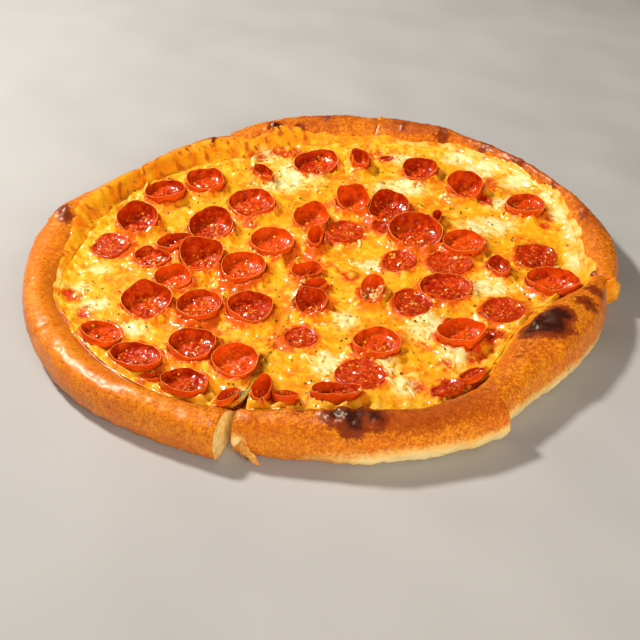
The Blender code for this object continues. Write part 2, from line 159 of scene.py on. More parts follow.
# Pepperoni: x, y, longer width, narrower share, its angle, wall, lean and the angle leant to
PEPPERONI = (
    (-130, 40, 29, 0.97, 20, 11, 16, 275),
    (-115, 82, 31, 0.95, 60, 9, 5, 120),
    (-86, 97, 30, 0.96, 10, 9, 2, 270),
    (-50, 65, 34, 0.95, 0, 8, 5, 270),
    (-77, 33, 32, 0.95, 15, 10, 13, 265),
    (-52, -20, 32, 0.95, 80, 9, 3, 270),
    (-81, -8, 30, 0.98, 0, 12, 12, 275),
    (-101, 13, 27, 0.72, 40, 8, 4, 90),
    (-115, -4, 25, 0.90, 150, 6, 5, 250),
    (-98, -31, 25, 0.95, 0, 8, 7, 280),
    (-112, -60, 32, 0.97, 0, 10, 12, 270),
    (-78, -63, 32, 0.95, 50, 8, 2, 90),
    (-45, -66, 30, 0.97, 0, 8, 4, 270),
    (-146, 12, 29, 0.92, 100, 4, 3, 200),
    (-79, -106, 30, 0.96, 30, 9, 2, 300),
    (-51, -122, 29, 0.95, 0, 9, 5, 270),
    (-80, -143, 29, 0.93, 150, 8, 4, 60),
    (-112, -117, 32, 0.90, 140, 8, 7, 60),
    (-137, -94, 29, 0.85, 125, 7, 8, 40),
    (-34, -152, 23, 0.50, 80, 11, 4, 250),
    (9, -152, 30, 0.58, 5, 9, 8, 80),
    (24, -130, 31, 0.92, 0, 3, 0, 0),
    (35, -103, 31, 0.95, 20, 8, 2, 90),
    (-12, -93, 23, 0.90, 120, 3, 2, 0),
    (-6, -61, 21, 0.92, 0, 9, 18, 270),
    (-9, -23, 21, 0.60, 10, 8, 12, 265),
    (-33, 11, 31, 0.96, 0, 9, 3, 270),
    (-6, 43, 26, 0.92, 30, 10, 14, 280),
    (-3, 16, 22, 0.50, 85, 10, 5, 270),
    (18, 30, 29, 0.90, 40, 4, 3, 0),
    (24, 66, 25, 0.95, 0, 12, 15, 275),
    (49, 59, 31, 0.93, 20, 9, 14, 270),
    (67, 24, 38, 0.90, 0, 10, 10, 270),
    (54, -8, 25, 0.90, 45, 4, 3, 270),
    (100, 12, 31, 0.93, 30, 8, 2, 90),
    (88, -11, 31, 0.90, 170, 4, 3, 250),
    (83, -40, 34, 0.90, 10, 5, 3, 270),
    (121, -18, 22, 0.62, 110, 8, 5, 200),
    (148, -1, 31, 0.95, 90, 3, 5, 180),
    (154, -39, 36, 0.66, 150, 9, 5, 230),
    (118, -65, 29, 0.95, 0, 4, 0, 0),
    (88, -94, 31, 0.92, 30, 10, 4, 90),
    (76, -146, 22, 0.85, 30, 4, 4, 120),
    (60, -56, 29, 0.92, 70, 4, 2, 0),
    (34, -46, 25, 0.64, 80, 9, 8, 260),
    (150, 63, 30, 0.94, 60, 8, 3, 90),
    (108, 86, 27, 0.97, 0, 12, 14, 280),
    (76, 114, 28, 0.90, 40, 9, 8, 260),
    (31, 127, 23, 0.56, 110, 12, 5, 250),
    (-3, 126, 34, 0.92, 5, 8, 8, 270),
)
# Slivers and curled scraps that show between the rounds
SCRAPS = (
    (-54, -158, 20, 0.45, 60, 7, 6, 250),
    (-20, -157, 17, 0.70, 160, 8, 8, 90),
    (-4, -41, 18, 0.50, 15, 8, 10, 270),
    (44, 36, 17, 0.70, 120, 4, 4, 250),
    (84, 44, 15, 0.45, 75, 9, 5, 230),
    (107, -92, 15, 0.80, 20, 4, 0, 0),
    (92, -136, 18, 0.80, 40, 5, 5, 90),
    (-100, -136, 18, 0.50, 20, 5, 4, 90),
    (52, 138, 10, 0.70, 20, 4, 0, 0),
    (-43, 109, 20, 0.50, 130, 9, 6, 230),
    (121, 76, 14, 0.60, 120, 4, 3, 200),
)
# A round's section from under its middle, over the lip, to the middle of its floor: share of the
# half width, share of the wall's height, and fixed height in mm
CUP = (
    (0.0, 0.0, 0.0), (0.40, 0.0, 0.0), (0.62, 0.0, 0.0), (0.86, 0.16, 0.0), (0.97, 0.42, 0.0),
    (1.0, 0.72, 0.0), (0.99, 0.98, 0.0), (0.97, 1.01, 0.0), (0.95, 0.94, 0.0), (0.925, 0.70, 0.0),
    (0.86, 0.42, 0.3), (0.70, 0.17, 1.0), (0.46, 0.03, 1.5), (0.22, 0.0, 1.9), (0.0, 0.0, 2.0),
)
FLAT_ROUND = (
    (0.0, 0.0, 0.0), (0.55, 0.0, 0.0), (0.80, 0.0, 0.0), (0.95, 0.25, 0.0), (1.0, 0.62, 0.0),
    (0.985, 0.98, 0.0), (0.93, 0.98, 0.0), (0.84, 0.50, 1.0), (0.62, 0.16, 1.7), (0.30, 0.0, 2.2),
    (0.0, 0.0, 2.4),
)
PEPPERONI_SIDES = 72
PEPPERONI_ANGLES = [360 * i / PEPPERONI_SIDES for i in range(PEPPERONI_SIDES)]
PEPPERONI_GAP = 0.5 * MM
PEPPERONI_LEAST_WALL = 3.0 * MM
PEPPERONI_WAVE = 0.045
PEPPERONI_LOW_SIDE = 1.7
PEPPERONI_STEEPEST = 22
PEPPERONI_FOLD = 0.23
FLAT_WALL = 4.5 * MM
BIG_ROUND = 36
SINK = 0.9 * MM
SIDEWAYS = (-12, -6, 0, 6, 12)

# Patches of the cheese: x, y and half sizes across and away from the viewer
PALE_PATCHES = (
    (-15, 120, 23, 22), (-27, 100, 16, 13), (-41, 143, 11, 9), (-150, -15, 8, 6), (-160, -37, 8, 6),
    (-147, -56, 11, 8), (110, -37, 18, 12), (155, 71, 16, 12), (182, 29, 9, 24), (178, -9, 10, 13),
    (172, 78, 13, 10), (133, 71, 13, 10), (70, -84, 17, 16), (83, -109, 10, 13), (51, -138, 9, 11),
    (40, -124, 10, 9), (34, -9, 10, 9), (-13, -51, 8, 9), (6, -119, 12, 13), (-47, -148, 7, 8),
    (63, 140, 16, 9), (120, 120, 14, 12), (96, -78, 7, 9), (21, 23, 7, 7), (16, -73, 9, 11),
    (107, 140, 13, 9), (66, -70, 9, 8), (120, 40, 22, 14), (-120, -84, 12, 8), (60, 95, 24, 14),
    (150, 104, 16, 11), (128, 127, 14, 9), (174, 55, 8, 14),
)
SAUCE_PATCHES = (
    (-26, 149, 18, 7), (-48, 141, 8, 6), (-164, -45, 8, 8), (-152, -64, 7, 8), (134, 93, 5, 6),
    (161, 42, 5, 4), (166, 50, 6, 5), (127, 103, 8, 10), (-146, 20, 8, 7), (40, 148, 12, 9),
    (89, -138, 7, 9), (57, -140, 6, 6), (77, -119, 6, 7), (-48, 124, 8, 8), (-29, -156, 10, 6),
    (-133, -80, 7, 7), (101, -86, 7, 9), (-50, 43, 6, 6), (96, -112, 8, 8), (5, 20, 9, 8), (20, -22, 8, 7),
)
OIL_PATCHES = (
    (-60, -39, 24, 18), (-7, -9, 20, 18), (51, 57, 22, 12), (77, 10, 22, 14), (36, 43, 16, 11),
    (-139, 10, 13, 12), (-76, -84, 22, 14), (7, 71, 10, 9), (112, -96, 8, 20), (-25, -99, 14, 12),
    (-55, -100, 12, 12), (62, -99, 7, 9), (105, 16, 12, 10), (79, -45, 20, 14), (0, -51, 16, 18),
    (-150, 110, 10, 10), (140, -60, 14, 14),
)

# The torn strip's middle line: x, y and z from the cut's face down to the tip
FLAP_LINE = ((-49, -184, 15), (-45, -189, 12), (-40, -193, 7), (-34, -196, 2.5))
# Where crumbs of cheese lie: x, y and spread
CRUMB_PLACES = (
    (36, -49, 3), (36, -45, 4), (-3, -70, 6), (-95, 20, 8), (0, -30, 9), (-60, 40, 12), (60, 10, 30),
    (20, 90, 25), (-60, -30, 60), (70, -90, 40), (35, -48, 3),
)
# Paler cheese on the inside of the rim
PALE_RIM = (
    (184, 12, 7, 22), (172, 52, 10, 20), (188, -30, 8, 12), (120, 140, 22, 8), (76, 162, 20, 6),
    (-172, -30, 6, 18), (50, 178, 12, 6), (158, 92, 12, 12), (142, 116, 13, 11), (168, 70, 9, 14),
    (96, 152, 14, 8),
)

# Angles of the strands in the melted cheese
STRAND_WAYS = (15, 75, 140)
# How many of each small thing is tried for
SHREDS = 90
CRUMBS = 90
DROPS = 1500
FLAKES = 420
SPECKS = 520
FLAKE_THICKNESS = 0.35 * MM
# How far out from the middle specks and drops lie
TOPPING_REACH = 168 * MM
# Numbers for the cheese material on a drip or a curl
LUMP_LOOKS = {"pale": 0.15, "oil_and_shade": 0.2, "high": 0.6, "baked": 0.35}

# The camera stands where the photo was taken from
CAMERA_TARGET = (0.0, -54.4 * MM, 0.0)
CAMERA_DISTANCE = 0.788
CAMERA_ELEVATION = 36.2
CAMERA_LENS = 67.2
SENSOR = 36.0


def direction(angle):
    """Unit x and y of an angle in degrees."""
    return math.cos(math.radians(angle)), math.sin(math.radians(angle))


def unit(value):
    """A number held between 0 and 1."""
    return min(max(value, 0.0), 1.0)


def smooth_at(values, share):
    """Smooth curve through evenly spaced values, at a share of 0 to 1 of the way along them."""
    place = share * (len(values) - 1)
    i = min(int(place), len(values) - 2)
    t = place - i
    before = values[max(i - 1, 0)]
    a, b = values[i], values[i + 1]
    after = values[min(i + 2, len(values) - 1)]
    return 0.5 * (2 * a + (b - before) * t + (2 * before - 5 * a + 4 * b - after) * t ** 2
                  + (3 * a - before - 3 * b + after) * t ** 3)


def curve_at(points, place):
    """Smooth curve through rows of numbers, at a place counted in rows."""
    return tuple(smooth_at(column, place / (len(points) - 1)) for column in zip(*points))


def slice_values(index):
    """First cut, width in degrees, outer radii, cheese edges and rim heights of a slice."""
    _, start, outer, edge, height = SLICES[index]
    _, end, _, next_edge, next_height = SLICES[(index + 1) % len(SLICES)]
    return start, (end - start) % 360, outer, edge + (next_edge[0],), height + (next_height[0],)


def section(index, share):
    """Angle, outer radius, cheese edge and rim height of a slice at a share of its width."""
    start, span, *rows = slice_values(index)
    return (start + span * share,) + tuple(smooth_at(row, share) * MM for row in rows)


def section_at(angle):
    """The section that lies at an angle, whichever slice that is in."""
    for index in range(len(SLICES)):
        start, span = slice_values(index)[:2]
        past = (angle - start) % 360
        if past < span:
            return section(index, past / span)
    return section(0, 0.0)


EDGE_ANGLES = [0.25 * i for i in range(1441)]
EDGE_RADII = [section_at(angle)[2] for angle in EDGE_ANGLES]


def cheese_edge(angle):
    """Radius of the cheese edge at an angle, or at each of many."""
    return np.interp(angle % 360, EDGE_ANGLES, EDGE_RADII)


def dough_height(out):
    """Height of the dough a distance past the start of the rim's foot."""
    return SHEET + float(np.interp(out, FOOT_OUT, FOOT_UP))


def noise_at(point, size=1.0):
    """Smooth noise of about -0.7 to 0.7 in space."""
    return noise.noise(Vector(point) / size)


def lumps(x, y, size, layer=0.0):
    """Smooth noise over the plane, in one of many layers."""
    return noise_at((x, y, layer * size), size)


def cheese_height(x, y):
    """Top of the cheese without its fine relief."""
    out = math.hypot(x, y) - (cheese_edge(math.degrees(math.atan2(y, x))) - CHEESE_FOOT)
    climb = unit(out / CHEESE_FOOT)
    thick = CHEESE + (CHEESE_EDGE - CHEESE) * climb
    lift = CHEESE_LUMP * noise_at((x, y, SEED * MM), CHEESE_LUMP_SIZE) * (1 - climb)
    return dough_height(out) + CHEESE_FLOOR + thick + lift


def swelling(x, y):
    """How far lumps and blisters lift the rim at a place."""
    lift = RIM_LUMP * lumps(x, y, RIM_LUMP_SIZE)
    for angle, radius, reach, height in BLISTERS:
        cx, cy = direction(angle)
        far = math.hypot(x - cx * radius * MM, y - cy * radius * MM) / (reach * MM)
        lift += height * MM * math.exp(-far ** 2)
    return lift


def cut_shift(r, opened):
    """How far a cut face stands back from the cut's middle at a radius."""
    share = max(0.0, (r - GAP_START) / (GAP_REACH - GAP_START)) if opened else 0.0
    return CUT_HALF_WIDTH + share * (GAP_HALF_WIDTH - CUT_HALF_WIDTH)


def stretch_share(angles, stretches):
    """How far angles lie inside any of a list of soft-edged stretches of the rim."""
    share = np.zeros(len(angles))
    for middle, half, strength in stretches:
        off = np.abs((angles - middle + 180) % 360 - 180) / half
        share = np.maximum(share, strength * np.exp(-off ** 2))
    return share


def patch_share(x, y, patches):
    """How far places lie inside any of a list of soft-edged patches."""
    share = np.zeros(len(x))
    for px, py, half_x, half_y in patches:
        far = ((x - px * MM) / (half_x * MM)) ** 2 + ((y - py * MM) / (half_y * MM)) ** 2
        share = np.maximum(share, np.exp(-far ** 1.3))
    return share


def grid_faces(rows, columns, start=0, flip=False):
    """Faces of a grid of points that runs row by row."""
    faces = []
    for i in range(rows - 1):
        for j in range(columns - 1):
            a = start + i * columns + j
            quad = (a, a + 1, a + columns + 1, a + columns)
            faces.append(quad[::-1] if flip else quad)
    return faces


def tube_faces(start, rings, sides, low=None, top=None):
    """Faces of rings of points from low to high. Each end is closed by one face, or by triangles
    to the point that is given for it."""
    faces = []
    last = start + (rings - 1) * sides
    for m in range(sides):
        k = (m + 1) % sides
        for a in range(start, last, sides):
            faces.append((a + m, a + k, a + sides + k, a + sides + m))
        if low is not None:
            faces.append((low, start + k, start + m))
        if top is not None:
            faces.append((last + m, last + k, top))
    if low is None:
        faces.append(tuple(start + m for m in reversed(range(sides))))
    if top is None:
        faces.append(tuple(last + m for m in range(sides)))
    return faces


def new_piece(name, vertices, faces, materials, values=None, kinds=None, smooth=True):
    """A mesh piece with named numbers on its points for the materials to read."""
    mesh = bpy.data.meshes.new(name)
    mesh.from_pydata([tuple(v) for v in vertices], [], faces)
    for material in materials:
        mesh.materials.append(material)
    if kinds is not None:
        mesh.polygons.foreach_set("material_index", kinds)
    mesh.polygons.foreach_set("use_smooth", [smooth] * len(mesh.polygons))
    for key, numbers in (values or {}).items():
        layer = mesh.attributes.new(key, "FLOAT", "POINT")
        layer.data.foreach_set("value", np.asarray(numbers, np.float32))
    obj = bpy.data.objects.new(name, mesh)
    bpy.context.scene.collection.objects.link(obj)
    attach(obj, "root")
    return obj


class Nodes:
    """Short calls for building one material's nodes."""

    def __init__(self, name):
        self.material = bpy.data.materials.new(name)
        self.material.use_nodes = True
        self.tree = self.material.node_tree
        self.shader = self.tree.nodes["Principled BSDF"]
        self.place = self.tree.nodes.new("ShaderNodeTexCoord").outputs["Object"]

    def add(self, kind, inputs, **settings):
        node = self.tree.nodes.new(kind)
        for key, value in settings.items():
            setattr(node, key, value)
        for key, source in inputs.items():
            self.link(source, node.inputs[key])
        return node

    def link(self, source, socket):
        if hasattr(source, "links"):
            self.tree.links.new(source, socket)
        else:
            socket.default_value = source

    def values(self, *names):
        return [self.add("ShaderNodeAttribute", {}, attribute_name=name).outputs["Fac"] for name in names]

    def noise(self, size, detail, roughness, distortion=0.0):
        return self.add("ShaderNodeTexNoise", {
            "Vector": self.place, "Scale": 1.0 / size, "Detail": detail, "Roughness": roughness,
            "Distortion": distortion}).outputs["Fac"]

    def cells(self, size):
        inputs = {"Vector": self.place, "Scale": 1.0 / size}
        return self.add("ShaderNodeTexVoronoi", inputs).outputs["Distance"]

    def span(self, source, low, high, to_low=0.0, to_high=1.0):
        return self.add("ShaderNodeMapRange", {
            "Value": source, "From Min": low, "From Max": high, "To Min": to_low, "To Max": to_high},
            interpolation_type="SMOOTHSTEP").outputs["Result"]

    def plus(self, a, b):
        return self.add("ShaderNodeMath", {0: a, 1: b}, operation="ADD").outputs["Value"]

    def times(self, a, b):
        return self.add("ShaderNodeMath", {0: a, 1: b}, operation="MULTIPLY").outputs["Value"]

    def minus(self, a, b):
        return self.add("ShaderNodeMath", {0: a, 1: b}, operation="SUBTRACT").outputs["Value"]

    def around(self, source, gain):
        """A noise made to lie around zero, times a gain."""
        return self.times(self.minus(source, 0.5), gain)

    def mix(self, share, a, b):
        a, b = (c + (1.0,) if isinstance(c, tuple) else c for c in (a, b))
        return self.add("ShaderNodeMix", {"Factor": share, 6: a, 7: b}, data_type="RGBA").outputs[2]

    def bump(self, height, distance, strength, after=None):
        inputs = {"Height": height, "Distance": distance, "Strength": strength}
        if after is not None:
            inputs["Normal"] = after
        return self.add("ShaderNodeBump", inputs).outputs["Normal"]

    def finish(self, colour, roughness, normal, **constants):
        constants.update(Base_Color=colour, Roughness=roughness, Normal=normal)
        for name, value in constants.items():
            self.link(value, self.shader.inputs[name.replace("_", " ")])
        return self.material


def crust_material():
    n = Nodes("crust_skin")
    burn, pale, toast = n.values("burn", "pale", "toast")
    wide, patches = n.noise(26 * MM, 4, 0.6), n.noise(8 * MM, 4, 0.65)
    grain, sand = n.noise(2.6 * MM, 5, 0.8), n.noise(1.5 * MM, 3, 0.7)
    both = n.plus(n.times(grain, 0.6), n.times(sand, 0.4))
    colour = n.mix(n.span(wide, 0.38, 0.64), (0.88, 0.29, 0.008), (0.80, 0.20, 0.006))
    colour = n.mix(n.span(both, 0.40, 0.62), colour, (0.56, 0.120, 0.006))
    colour = n.mix(n.span(both, 0.46, 0.34, 0.0, 0.6), colour, (0.95, 0.46, 0.040))
    brown = n.plus(n.plus(toast, n.around(both, 3.0)), n.around(patches, 1.0))
    colour = n.mix(n.span(brown, 0.15, 0.80), colour, (0.46, 0.085, 0.005))
    colour = n.mix(n.span(brown, 0.75, 1.40), colour, (0.28, 0.040, 0.004))
    floury = n.plus(pale, n.times(n.minus(patches, both), 1.2))
    colour = n.mix(n.times(n.span(floury, 0.25, 0.85), pale), colour, (0.96, 0.60, 0.17))
    colour = n.mix(n.times(n.span(floury, 0.75, 1.30), 0.85), colour, (0.97, 0.78, 0.40))
    burnt = n.plus(n.plus(burn, n.around(patches, 1.1)), n.around(both, 0.9))
    colour = n.mix(n.span(burnt, 0.12, 0.42), colour, (0.25, 0.036, 0.007))
    colour = n.mix(n.span(burnt, 0.50, 0.95), colour, (0.050, 0.010, 0.006))
    rough = n.span(n.plus(burn, n.times(patches, 0.5)), 0.2, 1.0, 0.50, 0.25)
    normal = n.bump(grain, 0.45 * MM, 0.8, n.bump(sand, 0.30 * MM, 0.8))
    return n.finish(colour, rough, normal, Subsurface_Weight=0.05, Subsurface_Scale=2 * MM,
                    Specular_IOR_Level=0.25, Specular_Tint=(1.0, 0.74, 0.40, 1.0),
                    Subsurface_Radius=(1.0, 0.4, 0.1), Coat_Weight=0.38, Coat_Roughness=0.31)


def crumb_material():
    n = Nodes("crumb")
    skin, = n.values("skin")
    pores, small = n.noise(4.0 * MM, 4, 0.7), n.noise(1.6 * MM, 4, 0.65)
    colour = n.mix(n.span(pores, 0.35, 0.6), (0.88, 0.52, 0.13), (0.98, 0.78, 0.36))
    colour = n.mix(n.times(n.span(small, 0.5, 0.75), 0.4), colour, (0.70, 0.32, 0.07))
    # Skin colour: real skin near the edges of the open cut, and painted shade over the closed cuts between
    # slices
    colour = n.mix(n.span(skin, 0.55, 1.0), colour, (0.84, 0.27, 0.015))
    normal = n.bump(pores, 1.2 * MM, 0.7, n.bump(small, 0.8 * MM, 0.8))
    return n.finish(colour, 0.75, normal, Subsurface_Weight=0.2, Subsurface_Scale=3 * MM,
                    Subsurface_Radius=(1.0, 0.6, 0.3), Specular_IOR_Level=0.2)


def sauce_material():
    n = Nodes("sauce")
    pulp = n.noise(2.5 * MM, 4, 0.6)
    colour = n.mix(n.span(pulp, 0.35, 0.7), (0.40, 0.018, 0.003), (0.70, 0.09, 0.008))
    return n.finish(colour, 0.40, n.bump(pulp, 1.0 * MM, 0.7), Subsurface_Weight=0.15,
                    Subsurface_Scale=2 * MM, Coat_Weight=0.15, Coat_Roughness=0.2)


def cheese_material():
    n = Nodes("cheese")
    pale, sauce, oil_and_shade, high, baked = n.values("pale", "sauce", "oil_and_shade", "high", "baked")
    wide, streaks = n.noise(18 * MM, 4, 0.62, 0.5), n.noise(6.0 * MM, 5, 0.68, 1.2)
    fine = n.noise(2.2 * MM, 4, 0.65, 0.5)
    rise = n.minus(n.plus(n.times(high, 0.5), n.times(streaks, 0.5)), 0.5)
    colour = n.mix(n.span(wide, 0.38, 0.60), (0.88, 0.22, 0.003), (0.95, 0.42, 0.006))
    colour = n.mix(n.span(rise, 0.00, 0.16), colour, (0.97, 0.52, 0.014))
    creamy = n.plus(pale, n.times(rise, 2.2))
    colour = n.mix(n.span(creamy, 0.30, 0.68), colour, (0.95, 0.58, 0.10))
    colour = n.mix(n.span(creamy, 0.68, 1.12), colour, (0.95, 0.80, 0.38))
    # Red-orange oil colour, and the rougher shine with it: real oil pools, and painted shade in a ring round
    # each round of pepperoni
    oil_and_shade_share = n.minus(oil_and_shade, n.times(rise, 2.6))
    colour = n.mix(n.span(oil_and_shade_share, 0.20, 0.62), colour, (0.78, 0.115, 0.004))
    red = n.times(n.span(sauce, 0.15, 0.8), n.span(rise, 0.26, -0.06))
    colour = n.mix(red, colour, (0.62, 0.040, 0.005))
    golden = n.plus(baked, n.around(streaks, 1.6))
    colour = n.mix(n.span(golden, 0.35, 0.85), colour, (0.88, 0.30, 0.010))
    colour = n.mix(n.times(n.span(golden, 0.85, 1.15), 0.75), colour, (0.52, 0.10, 0.006))
    spots = n.times(n.span(fine, 0.50, 0.76), n.span(wide, 0.44, 0.64))
    colour = n.mix(n.times(spots, 0.6), colour, (0.80, 0.18, 0.006))
    rough = n.span(oil_and_shade_share, 0.2, 0.9, 0.42, 0.28)
    normal = n.bump(streaks, 1.0 * MM, 0.8, n.bump(fine, 0.4 * MM, 0.8))
    return n.finish(colour, rough, normal, Subsurface_Weight=0.12, Subsurface_Scale=3 * MM,
                    Subsurface_Radius=(1.0, 0.40, 0.05), Specular_IOR_Level=0.2,
                    Coat_Weight=0.85, Coat_Roughness=0.12)


def pepperoni_material():
    n = Nodes("pepperoni")
    floor, lip_highlight, outside, low, tone, flat = n.values("floor", "lip_highlight", "outside", "low", "tone", "flat")
    mottle, fat = n.noise(6.0 * MM, 4, 0.65), n.noise(2.2 * MM, 4, 0.65)
    shade = n.plus(n.times(mottle, 1.3), n.around(tone, 0.35))
    colour = n.mix(n.span(shade, 0.40, 0.85), (0.40, 0.012, 0.001), (0.78, 0.078, 0.002))
    colour = n.mix(n.times(outside, 0.75), colour, (0.74, 0.075, 0.004))
    colour = n.mix(n.span(low, 0.10, 0.60), colour, (0.86, 0.20, 0.005))
    colour = n.mix(n.times(flat, n.span(fat, 0.62, 0.44)), colour, (0.44, 0.022, 0.002))
    speck = n.times(n.span(n.cells(2.8 * MM), 0.50, 0.20), n.span(fat, 0.44, 0.60))
    colour = n.mix(n.times(speck, n.span(floor, 0.0, 1.0, 0.35, 0.75)), colour, (0.90, 0.25, 0.03))
    colour = n.mix(n.times(n.span(fat, 0.56, 0.68), 0.5), colour, (0.28, 0.008, 0.002))
    # Painted highlight: a thin bright yellow-orange line along each cup's lip, where the thin edge catches
    # the light
    colour = n.mix(n.span(lip_highlight, 0.40, 0.85, 0.0, 0.95), colour, (0.96, 0.46, 0.08))
    rough = n.span(mottle, 0.35, 0.7, 0.30, 0.42)
    return n.finish(colour, rough, n.bump(fat, 0.4 * MM, 0.8), Subsurface_Weight=0.08,
                    Subsurface_Scale=2 * MM, Subsurface_Radius=(1.0, 0.2, 0.03),
                    Specular_IOR_Level=0.15, Coat_Weight=1.0, Coat_Roughness=0.07)


def plain_material(name, low, high, size, roughness, coat=0.0):
    """Two colours mixed by noise."""
    n = Nodes(name)
    mottle = n.noise(size, 3, 0.6)
    colour = n.mix(n.span(mottle, 0.35, 0.65), low, high)
    return n.finish(colour, roughness, n.bump(mottle, size * 0.2, 0.4), Coat_Weight=coat)


def rim_line(outer, edge, height):
    """Radius, height and share of the crest's swelling along a section, from the middle to the floor."""
    start = edge - CHEESE_FOOT
    rows = [(start + out, SHEET + up, 0.0) for out, up in FOOT]
    foot_end, foot_top = rows[-1][:2]
    for out, up in CROWN:
        rows.append((foot_end + out * (outer - foot_end), foot_top + up * (height - foot_top), up))
    rows += [(outer - inside, z, 0.0) for inside, z in WALL]
    turn, last = len(FOOT) + len(CROWN), len(rows) - 1
    line = [(start * k / SHEET_STEPS, SHEET, 0.0) for k in range(SHEET_STEPS)]
    line += [curve_at(rows, turn * k / CROWN_STEPS) for k in range(CROWN_STEPS)]
    return line + [curve_at(rows, turn + (last - turn) * k / WALL_STEPS) for k in range(WALL_STEPS + 1)]


def rim_bubbles(chance, index):
    """Small blisters of the skin: x, y, z, size and height."""
    found = []
    start, span = slice_values(index)[:2]
    for _ in range(SMALL_BLISTERS):
        angle, outer, edge, _ = section(index, chance.uniform(0.02, 0.98))
        r = edge + chance.uniform(0.15, 1.0) * (outer - edge)
        cx, cy = direction(angle)
        found.append((cx * r, cy * r, chance.uniform(14, 27) * MM, chance.uniform(1.4, 3.6) * MM,
                      chance.uniform(0.25, 0.8) * MM))
    for angle, r, z, reach, strength in BURNS:
        if (angle - start) % 360 > span:
            continue
        for _ in range(int(reach * strength)):
            cx, cy = direction(angle + chance.gauss(0, reach * 0.14))
            far = (r + chance.gauss(0, reach * 0.35)) * MM
            found.append((cx * far, cy * far, z * MM, chance.uniform(1.6, 4.2) * MM,
                          chance.uniform(0.5, 1.3) * (1.7 if strength > 0.9 else 1.0) * MM))
    return found


def burn_at(points):
    """How burnt the rim is at places."""
    burn = np.zeros(len(points))
    for angle, r, z, reach, strength in BURNS:
        cx, cy = direction(angle)
        far = np.linalg.norm(points - np.array((cx * r, cy * r, z)) * MM, axis=1) / (reach * MM)
        burn = np.maximum(burn, strength * np.clip(1.25 - far, 0, 1))
    return burn


def grid_normals(grid):
    """Outward unit normals of a grid of points whose rows run outwards over the rim."""
    normal = np.cross(np.gradient(grid, axis=1), np.gradient(grid, axis=0))
    return normal / np.maximum(np.linalg.norm(normal, axis=2, keepdims=True), 1e-12)


def crust_points(index, tip):
    """Places on a slice's skin before its fine relief, each with its row and share of the crest."""
    span = slice_values(index)[1]
    points, rows, crest = [], [], []
    for i in range(SECTIONS + 1):
        angle, outer, edge, height = section(index, i / SECTIONS)
        cx, cy = direction(angle)
        foot = edge - CHEESE_FOOT
        for k, (r, z, swell) in enumerate(rim_line(outer, edge, height)):
            x, y = cx * r, cy * r
            if k < SHEET_STEPS:
                share = k / SHEET_STEPS
                x, y = tip[0] + share * (cx * foot - tip[0]), tip[1] + share * (cy * foot - tip[1])
            near_start = math.radians(span * i / SECTIONS) * r
            near_end = math.radians(span * (1 - i / SECTIONS)) * r
            groove = math.exp(-(min(near_start, near_end) / GROOVE_WIDTH) ** 2)
            z += swell * swelling(x, y) - GROOVE_DEPTH * groove * min(1.0, swell * 1.5)
            push = 0.0
            if k > SHEET_STEPS:
                push = cut_shift(r, index == GAP_SLICE) * max(0.0, 1 - near_start / CUT_REACH)
                push -= cut_shift(r, index == GAP_SLICE - 1) * max(0.0, 1 - near_end / CUT_REACH)
            points.append((x - cy * push, y + cx * push, max(z, 0.0)))
            rows.append(k)
            crest.append(swell)
    return np.array(points), np.array(rows), np.array(crest)


